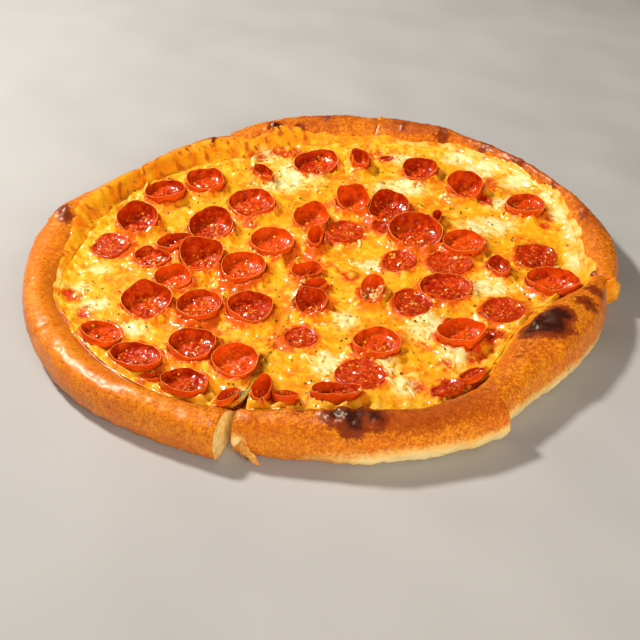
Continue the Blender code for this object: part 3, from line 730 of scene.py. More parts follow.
def crust_slice(index, skin, crumb):
    """One slice of dough with lumps, blisters and burns, and crumb on its cut faces."""
    chance = random.Random(SEED * 100 + index)
    start, span = slice_values(index)[:2]
    mx, my = direction(start + span / 2)
    back = CUT_HALF_WIDTH / math.sin(math.radians(span / 2))
    tip = (TIP[0] + mx * back, TIP[1] + my * back)
    points, rows, crest = crust_points(index, tip)
    columns = SHEET_STEPS + CROWN_STEPS + WALL_STEPS + 1
    shaped = (rows >= SHEET_STEPS + 2) & (rows < columns - 1)
    normals = grid_normals(points.reshape(SECTIONS + 1, columns, 3)).reshape(-1, 3)
    relief = np.zeros(len(points))
    for i in np.nonzero(shaped)[0]:
        relief[i] = sum(height * MM * noise_at(points[i], size * MM) for size, height in CRUST_RELIEF)
    low = np.clip((9 * MM - points[:, 2]) / (7 * MM), 0, 1) * shaped
    for x, y, z, size, height in rim_bubbles(chance, index):
        far = ((points[:, 0] - x) ** 2 + (points[:, 1] - y) ** 2 + 0.3 * (points[:, 2] - z) ** 2) / size ** 2
        relief += shaped * height * np.clip(1 - far, 0, 1) ** 1.5
    relief = relief * (1 + 0.8 * low) - BURN_SINK * burn_at(points) ** 2 * shaped
    points = points + normals * relief[:, None]
    over = np.maximum(points[:, 2] - TOP_EASE, 0.0)
    points[:, 2] = np.maximum(points[:, 2] - over + TOP_ROOM * (1 - np.exp(-over / TOP_ROOM)), 0.0)
    angles = np.degrees(np.arctan2(points[:, 1], points[:, 0])) % 360
    pale = stretch_share(angles, PALE_WALLS) * np.clip((19 * MM - points[:, 2]) / (11 * MM), 0, 1)
    pale *= rows > SHEET_STEPS + CROWN_STEPS * 0.6
    torn = np.exp(-(((points - np.array(TORN) * MM) / (np.array(TORN_REACH) * MM)) ** 2).sum(axis=1))
    toast = stretch_share(angles, TOASTED) * np.clip(crest * 1.15, 0, 1) ** 1.5
    values = {"burn": burn_at(points), "pale": np.maximum(pale, 1.3 * torn), "toast": toast,
              "skin": np.ones(len(points))}
    tip_low = len(points)
    vertices = [tuple(p) for p in points] + [(tip[0], tip[1], 0.0)]
    faces = grid_faces(SECTIONS + 1, columns)
    faces += [(a, tip_low, a + columns) for a in range(columns - 1, SECTIONS * columns, columns)]
    kinds = [0] * len(faces)
    skin_and_shade_shares = [1.0]
    for end, side, opened in ((0, 1, index == GAP_SLICE), (SECTIONS, -1, index == GAP_SLICE - 1)):
        made, skin_and_shade_share = cut_face(points[end * columns:(end + 1) * columns], tip, side, opened)
        faces += grid_faces(len(made) // (END_STEPS + 1), END_STEPS + 1, len(vertices), side < 0)
        vertices += made
        skin_and_shade_shares += skin_and_shade_share
    kinds += [1] * (len(faces) - len(kinds))
    values = {key: np.append(row, np.zeros(len(skin_and_shade_shares))) for key, row in values.items()}
    values["skin"][-len(skin_and_shade_shares):] = skin_and_shade_shares
    obj = new_piece(SLICES[index][0] + "_baked", vertices, faces, [skin, crumb], values, kinds)
    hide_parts(SLICES[index][0])


def cut_face(ring, tip, side, opened):
    """Points over one end of a slice, in columns between its upper and lower lines, and how much of
    each point takes the skin's colour: real skin near the edges of an open cut, and painted shade over the
    whole of a closed cut."""
    turn = SHEET_STEPS + CROWN_STEPS
    upper = ring[:turn + 1]
    lower = np.array([(tip[0], tip[1], 0.0)] + list(ring[:turn:-1]))
    low_r = np.hypot(lower[:, 0], lower[:, 1])
    order = np.argsort(low_r)
    along = upper[-1] - upper[0]
    across = np.array((along[1], -along[0], 0.0)) * side
    across /= np.linalg.norm(across)
    vertices, skin_and_shade_shares = [], []
    for p in upper:
        r = math.hypot(p[0], p[1])
        bottom = float(np.interp(r, low_r[order], lower[order, 2])) if r > 0.1 else 0.0
        bottom = min(bottom, p[2])
        for k in range(END_STEPS + 1):
            t = k / END_STEPS
            z = p[2] + (bottom - p[2]) * t
            deep = 4 * t * (1 - t) * min(1.0, (p[2] - bottom) / (8 * MM))
            pit = abs(noise_at((r, z, SEED * MM), 2.6 * MM)) * 1.3 * MM if opened else 0.0
            q = p - across * deep * pit
            vertices.append((q[0], q[1], z))
            # Near the edges of the open cut this is real skin. Over a closed cut it is painted shade in the
            # gap between slices, in the skin's darker colour
            skin_and_shade_shares.append(max(0.0, 1 - 12 * min(t, 1 - t)) if opened else CLOSED_CUT_SHADE)
    return vertices, skin_and_shade_shares


def reach_to(outline, x, y, dx, dy):
    """Distance from a place to a closed outline along a direction, or None where it misses."""
    ex, ey = (np.roll(outline, -1, axis=0) - outline).T
    across = dx * ey - dy * ex
    across = np.where(np.abs(across) < 1e-12, 1e-12, across)
    far = ((outline[:, 0] - x) * ey - (outline[:, 1] - y) * ex) / across
    along = ((outline[:, 0] - x) * dy - (outline[:, 1] - y) * dx) / across
    hits = far[(far > 0) & (along >= 0) & (along <= 1)]
    return hits.min() if len(hits) else None


def pepperoni_outline(row, chance, taken):
    """Half widths of a round all the way round, and the height of its wall there."""
    x, y, width, narrow, turn, wall, lean, toward = row
    x, y, wall = x * MM, y * MM, wall * MM
    long_half, short_half = width * MM / 2, width * narrow * MM / 2
    phase, waves = chance.uniform(0, 360), chance.choice((2, 3, 3, 4))
    halves, highs = [], []
    for angle in PEPPERONI_ANGLES:
        along, across = direction(angle - turn)
        half = long_half * short_half / math.hypot(short_half * along, long_half * across)
        half *= 1 + PEPPERONI_WAVE * math.sin(math.radians(waves * angle + phase))
        for other in taken:
            for aside in SIDEWAYS:
                room = reach_to(other, x, y, *direction(angle + aside))
                if room is not None:
                    half = min(half, room - PEPPERONI_GAP)
        halves.append(half)
    halves = np.array(halves)
    halves = (np.roll(halves, 1) + 2 * halves + np.roll(halves, -1)) / 4
    for angle, half in zip(PEPPERONI_ANGLES, halves):
        dx, dy = direction(angle)
        fall = math.tan(math.radians(lean)) * half * math.cos(math.radians(angle - toward))
        high = wall - fall * (PEPPERONI_LOW_SIDE if fall > 0 else 1.0)
        high *= 1 + PEPPERONI_WAVE * math.cos(math.radians(waves * angle - phase))
        high += 0.9 * MM * noise_at((x + dx * half, y + dy * half, 0.0), 7 * MM)
        highs.append(max(high, min(wall, PEPPERONI_LEAST_WALL)))
    return halves, highs


def pepperoni_piece(name, seed, row, taken, material):
    """A round of pepperoni curled up into a cup, sunk a little into the cheese."""
    x, y, width, wall = row[0] * MM, row[1] * MM, row[2], row[5] * MM
    chance = random.Random(SEED + seed)
    halves, highs = pepperoni_outline(row, chance, taken)
    tone = chance.random()
    fold, fold_wide = chance.uniform(0, 360), chance.uniform(18, 40)
    fold_deep = chance.uniform(0.0, PEPPERONI_FOLD)
    flat = wall <= FLAT_WALL
    rows = FLAT_ROUND if flat else CUP
    steps = 3 * (len(rows) - 1)
    line = [curve_at(rows, k / 3) for k in range(1, steps)]
    top = max(range(len(line)), key=lambda k: line[k][1])
    bump_up, wrinkle_up = 1.1 if flat else 0.6, 1.2 if width > BIG_ROUND else 0.85
    points = [Vector((0, 0, 0))]
    numbers = [(0.0, 0.0, 1.0, 1.0)]
    for k, (share, up, fixed) in enumerate(line):
        inside = k > top
        for angle, half, high in zip(PEPPERONI_ANGLES, halves, highs):
            dx, dy = direction(angle)
            px, py = x + dx * half * share, y + dy * half * share
            bumps = noise_at((px, py, up * wall), 4.5 * MM)
            wrinkle = noise_at((px, py, 5 * MM + up * high), 2.3 * MM)
            z = high * up + fixed * MM
            if inside:
                z += (bump_up * bumps + wrinkle_up * wrinkle) * MM * min(1.0, (1 - share) * 5)
            off = (angle - fold + 180) % 360 - 180
            wobble = 1 + 0.025 * bumps * up + (0.016 * wrinkle if 0.1 < up < 0.9 else 0.0)
            wobble -= fold_deep * max(0.0, up - 0.35) * math.exp(-(off / fold_wide) ** 2)
            points.append(Vector((dx * half * share * wobble, dy * half * share * wobble, z)))
        # Share of the painted highlight along the lip, strongest at its top row
        lip_highlight = 0.0 if flat else unit(1 - abs(k - top) / 3.0)
        floor_low = (max(0.0, 1 - up * 2.5), 0.0) if inside else (0.0, max(0.0, 1 - up * 1.3))
        numbers += [(floor_low[0], lip_highlight, float(not inside), floor_low[1])] * PEPPERONI_SIDES
    points.append(Vector((0, 0, rows[-1][2] * MM)))
    numbers.append((1.0, 0.0, 0.0, 0.0))
    values = dict(zip(("floor", "lip_highlight", "outside", "low"), zip(*numbers)))
    values["tone"] = [tone] * len(points)
    values["flat"] = [float(flat)] * len(points)
    ring = [Vector(direction(30 * i) + (0.0,)) * width * MM * 0.31 for i in range(12)]
    settle = settling(x, y, ring)
    lift = max(cheese_height(q.x, q.y) - q.z for q in [settle @ p for p in ring])
    lift = max(lift, 0.0) - SINK
    vertices = [(p.x, p.y, p.z + lift) for p in [settle @ p for p in points]]
    faces = tube_faces(1, len(line), PEPPERONI_SIDES, 0, len(points) - 1)
    obj = new_piece(name, vertices, faces, [material], values)
    turns = np.radians(PEPPERONI_ANGLES)
    return obj, np.column_stack((x + np.cos(turns) * halves, y + np.sin(turns) * halves))


def settling(x, y, underside):
    """The turn and place that lay a piece's underside along the cheese below it."""
    slope_x = slope_y = spread_x = spread_y = 0.0
    middle = cheese_height(x, y)
    for p in underside:
        rise = cheese_height(x + p.x, y + p.y) - middle
        slope_x += rise * p.x
        slope_y += rise * p.y
        spread_x += p.x ** 2
        spread_y += p.y ** 2
    upward = Vector((-slope_x / spread_x, -slope_y / spread_y, 1.0)).normalized()
    axis = Vector((0, 0, 1)).cross(upward)
    tilt = min(math.acos(min(upward.z, 1.0)), math.radians(PEPPERONI_STEEPEST))
    turned = Matrix.Rotation(tilt, 4, axis.normalized()) if axis.length > 1e-9 else Matrix()
    return Matrix.Translation((x, y, middle)) @ turned


def outline_distance(x, y, outlines, walls):
    """Distance of places from the nearest outline, negative inside one, and its wall's height."""
    nearest, wall_there = np.full(len(x), 1.0), np.zeros(len(x))
    for outline, wall in zip(outlines, walls):
        middle = outline.mean(axis=0)
        dx, dy = x - middle[0], y - middle[1]
        close = np.hypot(dx, dy) < 0.035
        around = outline - middle
        their = np.degrees(np.arctan2(around[:, 1], around[:, 0])) % 360
        order = np.argsort(their)
        angle = np.degrees(np.arctan2(dy[close], dx[close])) % 360
        reach = np.interp(angle, their[order], np.hypot(*around.T)[order], period=360)
        away = np.full(len(x), 1.0)
        away[close] = np.hypot(dx, dy)[close] - reach
        wall_there = np.where(away < nearest, wall * MM, wall_there)
        nearest = np.minimum(nearest, away)
    return nearest, wall_there


def cut_distance(x, y):
    """Distance of places from the nearest cut."""
    nearest = np.full(len(x), 1.0)
    for row in SLICES:
        dx, dy = direction(row[1])
        along = (x - TIP[0]) * dx + (y - TIP[1]) * dy
        off = np.abs((y - TIP[1]) * dx - (x - TIP[0]) * dy)
        nearest = np.where((along > 0) & (off < nearest), off, nearest)
    return nearest


def rim_cheese(material):
    """Cheese that has run up the inside of the rim and browned there."""
    sides, rings = RING_SIDES, RING_STEPS
    vertices, open_at = [], []
    numbers = {"oil_and_shade": [], "high": [], "baked": []}
    at, creeps, bakes = zip(*CREEP)
    for i in range(sides):
        angle = 360 * i / sides
        cx, cy = direction(angle)
        place = max(k for k in range(len(CREEP) - 1) if at[k] <= angle)
        share = (angle - at[place]) / (at[place + 1] - at[place])
        share = share * share * (3 - 2 * share)
        creep = creeps[place] + (creeps[place + 1] - creeps[place]) * share
        baked = bakes[place] + (bakes[place + 1] - bakes[place]) * share
        creep *= (1 + 0.55 * noise_at((cx * 5, cy * 5, 2.0)) + 0.25 * noise_at((cx * 11, cy * 11, 4.0))) * MM
        _, outer, edge, height = section_at(angle)
        line_r, line_z, line_swell = zip(*rim_line(outer, edge, height)[:SHEET_STEPS + CROWN_STEPS])
        creep = min(creep, CREEP_LIMIT * (outer - edge))
        off_gap = abs(angle - GAP_ANGLE)
        fade = unit((off_gap - 1.5) / 0.8)
        open_at.append(off_gap < 1.6)
        for k in range(rings + 1):
            r = edge - RING_INSIDE + (RING_INSIDE + creep) * k / rings
            x, y = cx * r, cy * r
            z = float(np.interp(r, line_r, line_z) + np.interp(r, line_r, line_swell) * swelling(x, y))
            past = max(0.0, (r - edge) / max(creep, MM))
            soft = lumps(x, y, 7 * MM) + 0.25 * lumps(x, y, 2.8 * MM, 9.0)
            spot = max(0.0, lumps(x, y, 5 * MM, 3.0) - 0.12)
            cover = (1.7 * unit(1 - past) ** 0.8 + 0.4) * (1 - past ** 6) - 0.6 * past ** 6
            cover -= 1.6 * unit((4.0 * MM - creep) / (2.5 * MM))
            cover += (0.85 * soft + 1.6 * spot) * (1 - past ** 4)
            top = z + cover * MM
            if r < edge:
                top = cheese_height(x, y) - (0.9 + 1.8 * min(1.0, (edge - r) / (2 * MM))) * MM
            vertices.append((x, y, z - MM + (top - z + MM) * fade))
            numbers["high"].append(unit(0.6 + 0.35 * soft))
            numbers["baked"].append(min(1.3, baked * (0.5 + 0.8 * past + 4.5 * spot)))
            numbers["oil_and_shade"].append(0.25 * (1 - past))
    xs, ys, _ = np.array(vertices).T
    numbers["pale"] = 0.7 * np.maximum(patch_share(xs, ys, PALE_PATCHES), patch_share(xs, ys, PALE_RIM))
    numbers["sauce"] = patch_share(xs, ys, SAUCE_PATCHES)
    faces = []
    for i in range(sides):
        j = (i + 1) % sides
        if not (open_at[i] or open_at[j]):
            for k in range(rings):
                a, b = i * (rings + 1) + k, j * (rings + 1) + k
                faces.append((a, a + 1, b + 1, b))
    return new_piece("cheese_on_rim", vertices, faces, [material], numbers)


def shreds_piece(material, hit, chance):
    """Pale strands of cheese that kept their shape, lying half sunk in the rest."""
    vertices, faces = [], []
    numbers = {"pale": [], "high": []}
    steps, sides = 9, 6
    for _ in range(SHREDS):
        px, py, half_x, half_y = chance.choice(PALE_PATCHES)
        x, y = (px + chance.gauss(0, half_x * 0.5)) * MM, (py + chance.gauss(0, half_y * 0.5)) * MM
        heading, bend = chance.uniform(0, 360), chance.uniform(-9, 9)
        length, width = chance.uniform(6, 14) * MM, chance.uniform(0.9, 1.5) * MM
        pale = chance.uniform(0.35, 0.9)
        rows = []
        for k in range(steps + 1):
            place, _ = hit(x, y)
            if place is None or math.hypot(x, y) > cheese_edge(math.degrees(math.atan2(y, x))) - 5 * MM:
                break
            rows.append((place, heading))
            dx, dy = direction(heading)
            x, y = x + dx * length / steps, y + dy * length / steps
            heading += bend
        heights = [place.z for place, _ in rows]
        if len(rows) < 5 or max(heights) - min(heights) > 3.5 * MM:
            continue
        faces += tube_faces(len(vertices), len(rows), sides)
        for k, (place, way) in enumerate(rows):
            across = Vector(direction(way + 90) + (0.0,))
            wide = width * math.sin(math.pi * (k + 0.35) / (len(rows) - 0.3)) ** 0.5
            for m in range(sides):
                along, up = direction(360 * m / sides)
                vertices.append(place + across * along * wide + Vector((0, 0, 1)) * (up * 0.45 - 0.05) * wide)
                numbers["pale"].append(pale)
                numbers["high"].append(0.55 + 0.15 * up)
    return new_piece("cheese_shreds", vertices, faces, [material], numbers)


def strand_ridges(x, y):
    """Ridges of strands of cheese that lie in a few ways, 1 along the middle of each."""
    bend = np.array([lumps(a, b, 14 * MM, 3.0) for a, b in zip(x, y)]) * 5 * MM
    ridges = np.full(len(x), -1.0)
    for way in STRAND_WAYS:
        dx, dy = direction(way)
        along, across = (x * dx + y * dy) / (13 * MM), (y * dx - x * dy + bend) / (4.4 * MM)
        strand = np.array([noise_at((a, b, way)) for a, b in zip(along, across)])
        ridges = np.maximum(ridges, 1 - np.abs(strand) * 5.0)
    return np.clip(ridges, -0.4, 1)


def cheese_piece(material, outlines, walls):
    """The melted cheese: shreds that have run together, swollen against each piece of pepperoni."""
    n = CHEESE_GRID
    u, v = np.meshgrid(np.linspace(-1, 1, n + 1), np.linspace(-1, 1, n + 1), indexing="ij")
    disc_x, disc_y = (u * np.sqrt(1 - v * v / 2)).ravel(), (v * np.sqrt(1 - u * u / 2)).ravel()
    angle = np.degrees(np.arctan2(disc_y, disc_x)) % 360
    reach = cheese_edge(angle)
    notch = np.minimum(np.abs(angle - GAP_ANGLE) / NOTCH_HALF_ANGLE, 1.0)
    wander = np.array([lumps(*direction(a), 0.06) for a in angle])
    edge = NOTCH_RADIUS + (reach + wander * 1.6 * MM - NOTCH_RADIUS) * notch
    r = np.hypot(disc_x, disc_y)
    x, y = disc_x * edge, disc_y * edge
    base = np.array([cheese_height(a, b) for a, b in zip(x, y)])
    soft = np.array([lumps(a, b, 6 * MM, 5.0) for a, b in zip(x, y)])
    fine = np.array([lumps(a, b, 2.2 * MM, 9.0) for a, b in zip(x, y)])
    pale, sauce = patch_share(x, y, PALE_PATCHES), patch_share(x, y, SAUCE_PATCHES)
    away, wall = outline_distance(x, y, outlines, walls)
    inner = np.clip((1 - r) / 0.012, 0, 1)
    slope = np.clip((r - 0.90) / 0.06, 0, 1)
    ridges = strand_ridges(x, y) * (0.35 + 0.65 * pale) * (1 - 0.75 * slope)
    relief = ridges + (0.8 + 0.5 * slope) * soft + (0.45 + 0.35 * slope) * fine
    relief += 1.4 * np.clip(soft - 0.15, 0, 1)
    swell = 0.62 * wall * np.exp(-(np.clip(away, 0, 1) / (4.0 * MM)) ** 2) * (0.90 + 0.55 * soft)
    under = 0.3 * MM + 1.6 * MM * np.exp(-(np.clip(away, -1, 0) / (1.3 * MM)) ** 2)
    calm = relief * MM * inner * np.clip(away / (3 * MM), 0.3, 1)
    climb = np.clip((r * edge - reach + CHEESE_FOOT) / CHEESE_FOOT, 0, 1)
    least = 0.55 * (CHEESE + (CHEESE_EDGE - CHEESE) * climb)
    calm = np.where(calm < 0, -least * np.tanh(-calm / least), calm)
    z = base + np.where(away < 0, under, calm + swell * inner) - 0.9 * MM * np.clip((r - 0.985) / 0.015, 0, 1)
    vertices = list(zip(x, y, z))
    faces = grid_faces(n + 1, n + 1, flip=True)
    loop = ([i * (n + 1) for i in range(n)] + [n * (n + 1) + j for j in range(n)]
            + [i * (n + 1) + n for i in range(n, 0, -1)] + list(range(n, 0, -1)))
    low, count = len(vertices), len(loop)
    for i in loop:
        out = math.hypot(x[i], y[i]) - (reach[i] - CHEESE_FOOT)
        vertices.append((x[i], y[i], min(dough_height(out) + CHEESE_FLOOR, z[i] - 0.3 * MM)))
    for i in loop:
        far = math.hypot(x[i], y[i])
        share = min(far - MM, reach[i] - CHEESE_FOOT) / far
        vertices.append((x[i] * share, y[i] * share, SHEET + CHEESE_FLOOR))
    vertices.append((0.0, 0.0, SHEET + CHEESE_FLOOR))
    for k in range(count):
        a, b = low + k, low + (k + 1) % count
        faces.append((loop[k], loop[(k + 1) % count], b, a))
        faces.append((a, b, b + count, a + count))
        faces.append((a + count, b + count, low + 2 * count))
    # Painted shade: a red-orange ring of oil colour round each round of pepperoni, where the rounds cast
    # their shade on the cheese. It also stands for real oil run out of them
    near = np.exp(-(np.clip(away, 0, 1) / (4.4 * MM)) ** 2) * (0.75 + 1.1 * soft)
    high = 0.5 + 0.45 * np.tanh(calm / (1.3 * MM)) - 0.2 * np.exp(-(cut_distance(x, y) / MM) ** 2)
    values = {"pale": pale * (0.78 + 0.6 * ridges), "sauce": sauce,
              "oil_and_shade": patch_share(x, y, OIL_PATCHES) * 0.55 + 0.85 * near,
              "high": high + 0.22 * slope * (1 - sauce), "baked": 0.25 * np.clip((r - 0.90) / 0.1, 0, 1)}
    values = {key: np.append(np.clip(row, 0, 1), np.zeros(2 * count + 1)) for key, row in values.items()}
    obj = new_piece("cheese_melted", vertices, faces, [material], values)
    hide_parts("cheese")
    return obj


def sauce_piece(material):
    """The sauce where it shows past the cheese, running in a wandering line on the rim's foot."""
    shift = random.Random(SEED).uniform(0, 9)
    sides, rings = 720, 8
    size = rings + 3
    vertices, faces = [], []
    for i in range(sides):
        angle = 360 * i / sides
        cx, cy = direction(angle)
        foot = cheese_edge(angle) - CHEESE_FOOT
        wander = 0.5 + 0.5 * noise_at((cx * 4 + shift, cy * 4, 0.0))
        near = min(abs(angle - GAP_ANGLE) / NOTCH_HALF_ANGLE, 1.0)
        outer = NOTCH_RADIUS + (foot + CHEESE_FOOT + (4.4 * wander - 1.0) * MM - NOTCH_RADIUS) * near
        inner = NOTCH_RADIUS - 14 * MM + (foot + CHEESE_FOOT - 8 * MM - NOTCH_RADIUS) * near
        for k in range(rings + 1):
            r = inner + (outer - inner) * k / rings
            thin = 1 - max(0.0, k / rings - 0.8) * 4
            pulp = 0.25 * MM * noise_at((cx * r, cy * r, 0.0), 3 * MM)
            vertices.append((cx * r, cy * r, dough_height(r - foot) + LAYER_GAP + SAUCE * thin + pulp))
        for r in (outer, inner):
            vertices.append((cx * r, cy * r, dough_height(r - foot) + 0.1 * MM))
        a, b = i * size, ((i + 1) % sides) * size
        for k in range(size):
            m = (k + 1) % size
            faces.append((a + k, a + m, b + m, b + k))
    obj = new_piece("sauce_edge", vertices, faces, [material])
    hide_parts("sauce")


def surface_under(objects):
    """A function that gives the highest point and the slope of the objects at a place."""
    vertices, faces = [], []
    for obj in objects:
        start = len(vertices)
        vertices += [v.co.copy() for v in obj.data.vertices]
        faces += [tuple(start + i for i in p.vertices) for p in obj.data.polygons]
    tree = BVHTree.FromPolygons(vertices, faces)

    def hit(x, y):
        return tree.ray_cast(Vector((x, y, 0.1)), Vector((0, 0, -1)))[:2]

    return hit


def scattered(name, count, sizes, material, hit, chance, places):
    """Small thin flakes lying on whatever is under them, all in one mesh."""
    vertices, faces = [], []
    for _ in range(count):
        place, normal = hit(*places(chance))
        if place is None or normal.z < 0.35:
            continue
        length, width = chance.uniform(*sizes) * MM, chance.uniform(*sizes) * MM * 0.65
        up = (normal + Vector((chance.gauss(0, 0.2), chance.gauss(0, 0.2), 0))).normalized()
        side = up.cross(Vector(direction(chance.uniform(0, 360)) + (0.0,))).normalized()
        ahead = up.cross(side)
        corners = chance.choice((4, 5, 6))
        faces += tube_faces(len(vertices), 2, corners)
        for layer in (0, 1):
            for k in range(corners):
                dx, dy = direction(360 * k / corners + chance.uniform(-14, 14))
                vertices.append(place + side * dx * length / 2 + ahead * dy * width / 2
                                + up * FLAKE_THICKNESS * (layer + 0.1))
    new_piece(name, vertices, faces, [material], smooth=False)


def crumbs_piece(material, hit, chance):
    """Crumbs of pale cheese in a few of the cups and about the topping."""
    vertices, faces = [], []
    for k in range(CRUMBS):
        x, y, spread = CRUMB_PLACES[k % len(CRUMB_PLACES)]
        place, _ = hit((x + chance.gauss(0, spread)) * MM, (y + chance.gauss(0, spread)) * MM)
        if place is None:
            continue
        size = chance.uniform(0.6, 1.5) * MM
        faces += tube_faces(len(vertices), 3, 6)
        for layer, (up, wide) in enumerate(((-0.6, 1.0), (0.1, 1.15), (0.75, 0.6))):
            for m in range(6):
                dx, dy = direction(60 * m + 30 * layer)
                reach = size * wide * chance.uniform(0.75, 1.2)
                vertices.append((place.x + dx * reach, place.y + dy * reach, place.z + size * up))
    new_piece("cheese_crumbs", vertices, faces, [material])


def drops_piece(name, count, material, hit, chance, places):
    """Small domes of oil, each of which catches the light."""
    vertices, faces = [], []
    for _ in range(count):
        place, normal = hit(*places(chance))
        if place is None or normal.z < 0.3:
            continue
        size = chance.uniform(0.5, 1.5) * MM
        side = normal.cross(Vector(direction(chance.uniform(0, 360)) + (0.0,))).normalized()
        ahead = normal.cross(side)
        start = len(vertices)
        for tilt in (0, 35, 65):
            along, up = direction(tilt)
            for m in range(7):
                dx, dy = direction(360 * m / 7)
                out = (side * dx + ahead * dy) * along
                vertices.append(place + (out + normal * (up * 0.36 - 0.08)) * size)
        faces += tube_faces(start, 3, 7, top=len(vertices))
        vertices.append(place + normal * 0.28 * size)
    new_piece(name, vertices, faces, [material])


def lump_piece(name, place, sizes, turn, material):
    """An uneven rounded lump, such as a drip or a curl."""
    sides, rings = 28, 17
    vertices = []
    place = Vector(place)
    turned = Matrix.Rotation(math.radians(turn), 3, "Z")
    for k in range(rings):
        along, up = direction(-84 + 168 * k / (rings - 1))
        for m in range(sides):
            dx, dy = direction(360 * m / sides)
            p = Vector((dx * along, dy * along, up))
            p *= 1 + 0.30 * noise_at(p * 1.6 + place) + 0.10 * noise_at(p * 4.5)
            vertices.append((place + turned @ Vector([a * b for a, b in zip(p, sizes)])) * MM)
    values = {key: [number] * len(vertices) for key, number in LUMP_LOOKS.items()}
    new_piece(name, vertices, tube_faces(0, rings, sides), [material], values)


def torn_flap(skin, crumb):
    """The strip of dough torn loose at the open cut, crumb inside and skin outside."""
    steps, across = 22, 8
    vertices, kinds, faces = [], [], []
    for k in range(steps + 1):
        t = k / steps
        x, y, z = curve_at(FLAP_LINE, (len(FLAP_LINE) - 1) * t)
        half = 6.0 * (1 - t) ** 0.6 + 0.3
        for way in (-1, 1):
            for m in range(across + 1):
                side = 2 * m / across - 1
                wide = side * half * (1 + 0.6 * noise_at((t * 7, side * 3, 4.0)))
                thick = (1.0 - 0.6 * abs(side) ** 3) * (1 - 0.6 * t) * way
                vertices.append(((x + 0.35 * wide) * MM, (y - thick) * MM, max(0.2, z + 0.9 * wide) * MM))
    row = 2 * (across + 1)
    for k in range(steps):
        for m in range(across):
            a = k * row + m
            b = a + across + 1
            faces += [(a, a + row, a + row + 1, a + 1), (b, b + 1, b + row + 1, b + row)]
            kinds += [1, 0]
        for m, way in ((0, 1), (across, -1)):
            a, b = k * row + m, k * row + across + 1 + m
            faces.append((a, b, b + row, a + row)[::way])
            kinds.append(1)
    values = {key: [number] * len(vertices) for key, number in (("pale", 0.6), ("toast", 0.2), ("skin", 0.3))}
    new_piece("torn_flap", vertices, faces, [skin, crumb], values, kinds)


def anywhere(chance):
    """A place on the topping."""
    r = math.sqrt(chance.random()) * TOPPING_REACH
    cx, cy = direction(chance.uniform(0, 360))
    return cx * r, cy * r


def on_cups(chance):
    """A place anywhere inside one of the cups, more often in a wide one."""
    x, y, width = chance.choices(PEPPERONI, [row[2] ** 3 for row in PEPPERONI])[0][:3]
    cx, cy = direction(chance.uniform(0, 360))
    r = math.sqrt(chance.random()) * 0.42 * width
    return (x + cx * r) * MM, (y + cy * r) * MM


def in_cups(chance):
    """A place on the floor of one of the cups, on the side away from the light."""
    x, y, width = chance.choice(PEPPERONI)[:3]
    cx, cy = direction(chance.gauss(-30, 60))
    r = chance.uniform(0.0, 0.30) * width
    return (x + cx * r) * MM, (y + cy * r) * MM


def area_light(name, place, size, power, colour):
    light = bpy.data.lights.new(name, "AREA")
    light.shape = "DISK"
    light.size = size
    light.energy = power
    light.color = colour
    obj = bpy.data.objects.new(name, light)
    bpy.context.scene.collection.objects.link(obj)
    obj.location = place
    obj.rotation_euler = (-Vector(place)).to_track_quat("-Z", "Y").to_euler()
    return obj


def stage_and_camera():
    """A plain pale floor, a soft sky and two lights, and the camera. Neither the sky nor the fill
    light shows in gloss, which would veil the colours."""
    scene = bpy.context.scene
    mesh = bpy.data.meshes.new("floor")
    mesh.from_pydata([(x, y, -0.0005) for x, y in ((-6, -6), (6, -6), (6, 6), (-6, 6))], [], [(0, 1, 2, 3)])
    mesh.materials.append(plain_material("floor", (0.40, 0.40, 0.42), (0.44, 0.44, 0.46), 0.4, 0.8))
    floor = bpy.data.objects.new("floor", mesh)
    scene.collection.objects.link(floor)
    world = bpy.data.worlds.new("sky")
    scene.world = world
    world.use_nodes = True
    back = world.node_tree.nodes["Background"]
    back.inputs["Color"].default_value = (1.0, 0.90, 0.76, 1.0)
    back.inputs["Strength"].default_value = 0.19
    world.cycles_visibility.glossy = False
    area_light("window", (-0.72, 0.42, 1.00), 0.18, 21.0, (1.0, 0.94, 0.82))
    fill = area_light("fill", (0.35, -1.30, 0.60), 1.0, 17.0, (1.0, 0.90, 0.74))
    fill.visible_glossy = False
    camera = bpy.data.cameras.new("camera")
    camera.lens = CAMERA_LENS
    camera.sensor_width = SENSOR
    obj = bpy.data.objects.new("camera", camera)
    scene.collection.objects.link(obj)
    up = math.radians(CAMERA_ELEVATION)
    obj.location = Vector(CAMERA_TARGET) + Vector((0, -math.cos(up), math.sin(up))) * CAMERA_DISTANCE
    obj.rotation_euler = (math.radians(90) - up, 0, 0)
    scene.camera = obj
    scene.view_settings.view_transform = "Standard"


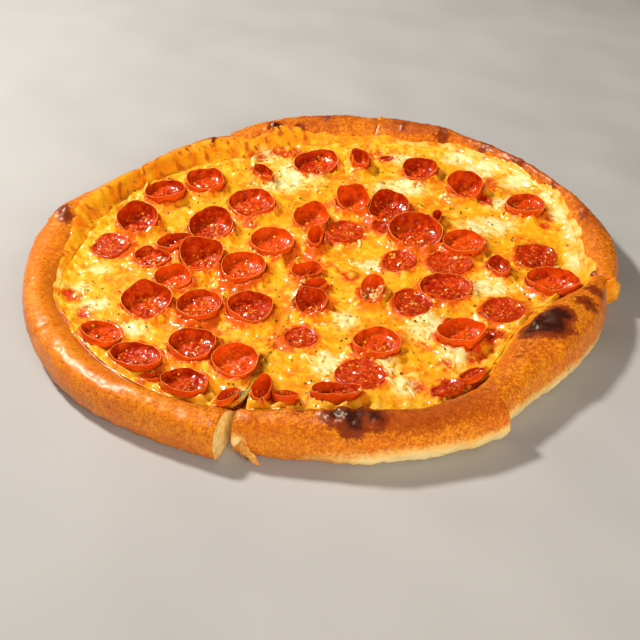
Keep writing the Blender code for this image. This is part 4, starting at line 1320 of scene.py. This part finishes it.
def main():
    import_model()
    skin, crumb, cheese, meat = crust_material(), crumb_material(), cheese_material(), pepperoni_material()
    for index in range(len(SLICES)):
        crust_slice(index, skin, crumb)
    sauce_piece(sauce_material())
    outlines, rounds = [], []
    for number, row in enumerate(PEPPERONI, start=1):
        obj, outline = pepperoni_piece(f"round_{number:02d}", number, row, outlines, meat)
        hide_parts(f"pepperoni_{number:02d}")
        outlines.append(outline)
        rounds.append(obj)
    for number, row in enumerate(SCRAPS, start=1):
        obj, outline = pepperoni_piece(f"scrap_{number:02d}", 60 + number, row, (), meat)
        outlines.append(outline)
        rounds.append(obj)
    melted = cheese_piece(cheese, outlines, [row[5] for row in PEPPERONI + SCRAPS])
    ring = rim_cheese(cheese)
    chance = random.Random(SEED)
    shreds = shreds_piece(cheese, surface_under([melted, ring]), chance)
    hit = surface_under([melted, ring, shreds] + rounds)
    cream = plain_material("crumbled_cheese", (0.95, 0.62, 0.20), (0.97, 0.82, 0.45), 1.5 * MM, 0.35, 0.2)
    red_oil = plain_material("red_oil", (0.62, 0.050, 0.003), (0.80, 0.11, 0.006), 3 * MM, 0.1, 1.0)
    gold_oil = plain_material("gold_oil", (0.90, 0.30, 0.008), (0.95, 0.45, 0.03), 3 * MM, 0.1, 1.0)
    gold = plain_material("flakes", (0.80, 0.40, 0.05), (0.95, 0.66, 0.18), 1 * MM, 0.35, 0.4)
    dark = plain_material("pepper", (0.020, 0.012, 0.004), (0.10, 0.06, 0.010), 1 * MM, 0.8)
    crumbs_piece(cream, hit, chance)
    drops_piece("oil_on_pepperoni", DROPS, red_oil, hit, chance, on_cups)
    drops_piece("oil_on_cheese", DROPS // 2, gold_oil, hit, chance, anywhere)
    lump_piece("cheese_drip", (192.5, -40, 14), (6.0, 3.2, 9.5), 350, cheese)
    lump_piece("dough_curl", (49, 186, 24.5), (2.2, 4.5, 2.2), 345, cheese)
    torn_flap(skin, crumb)
    scattered("chilli_flakes", FLAKES, (0.6, 1.5), gold, hit, chance, in_cups)
    scattered("pepper_specks", SPECKS, (0.7, 2.2), dark, hit, chance, anywhere)
    stage_and_camera()


main()
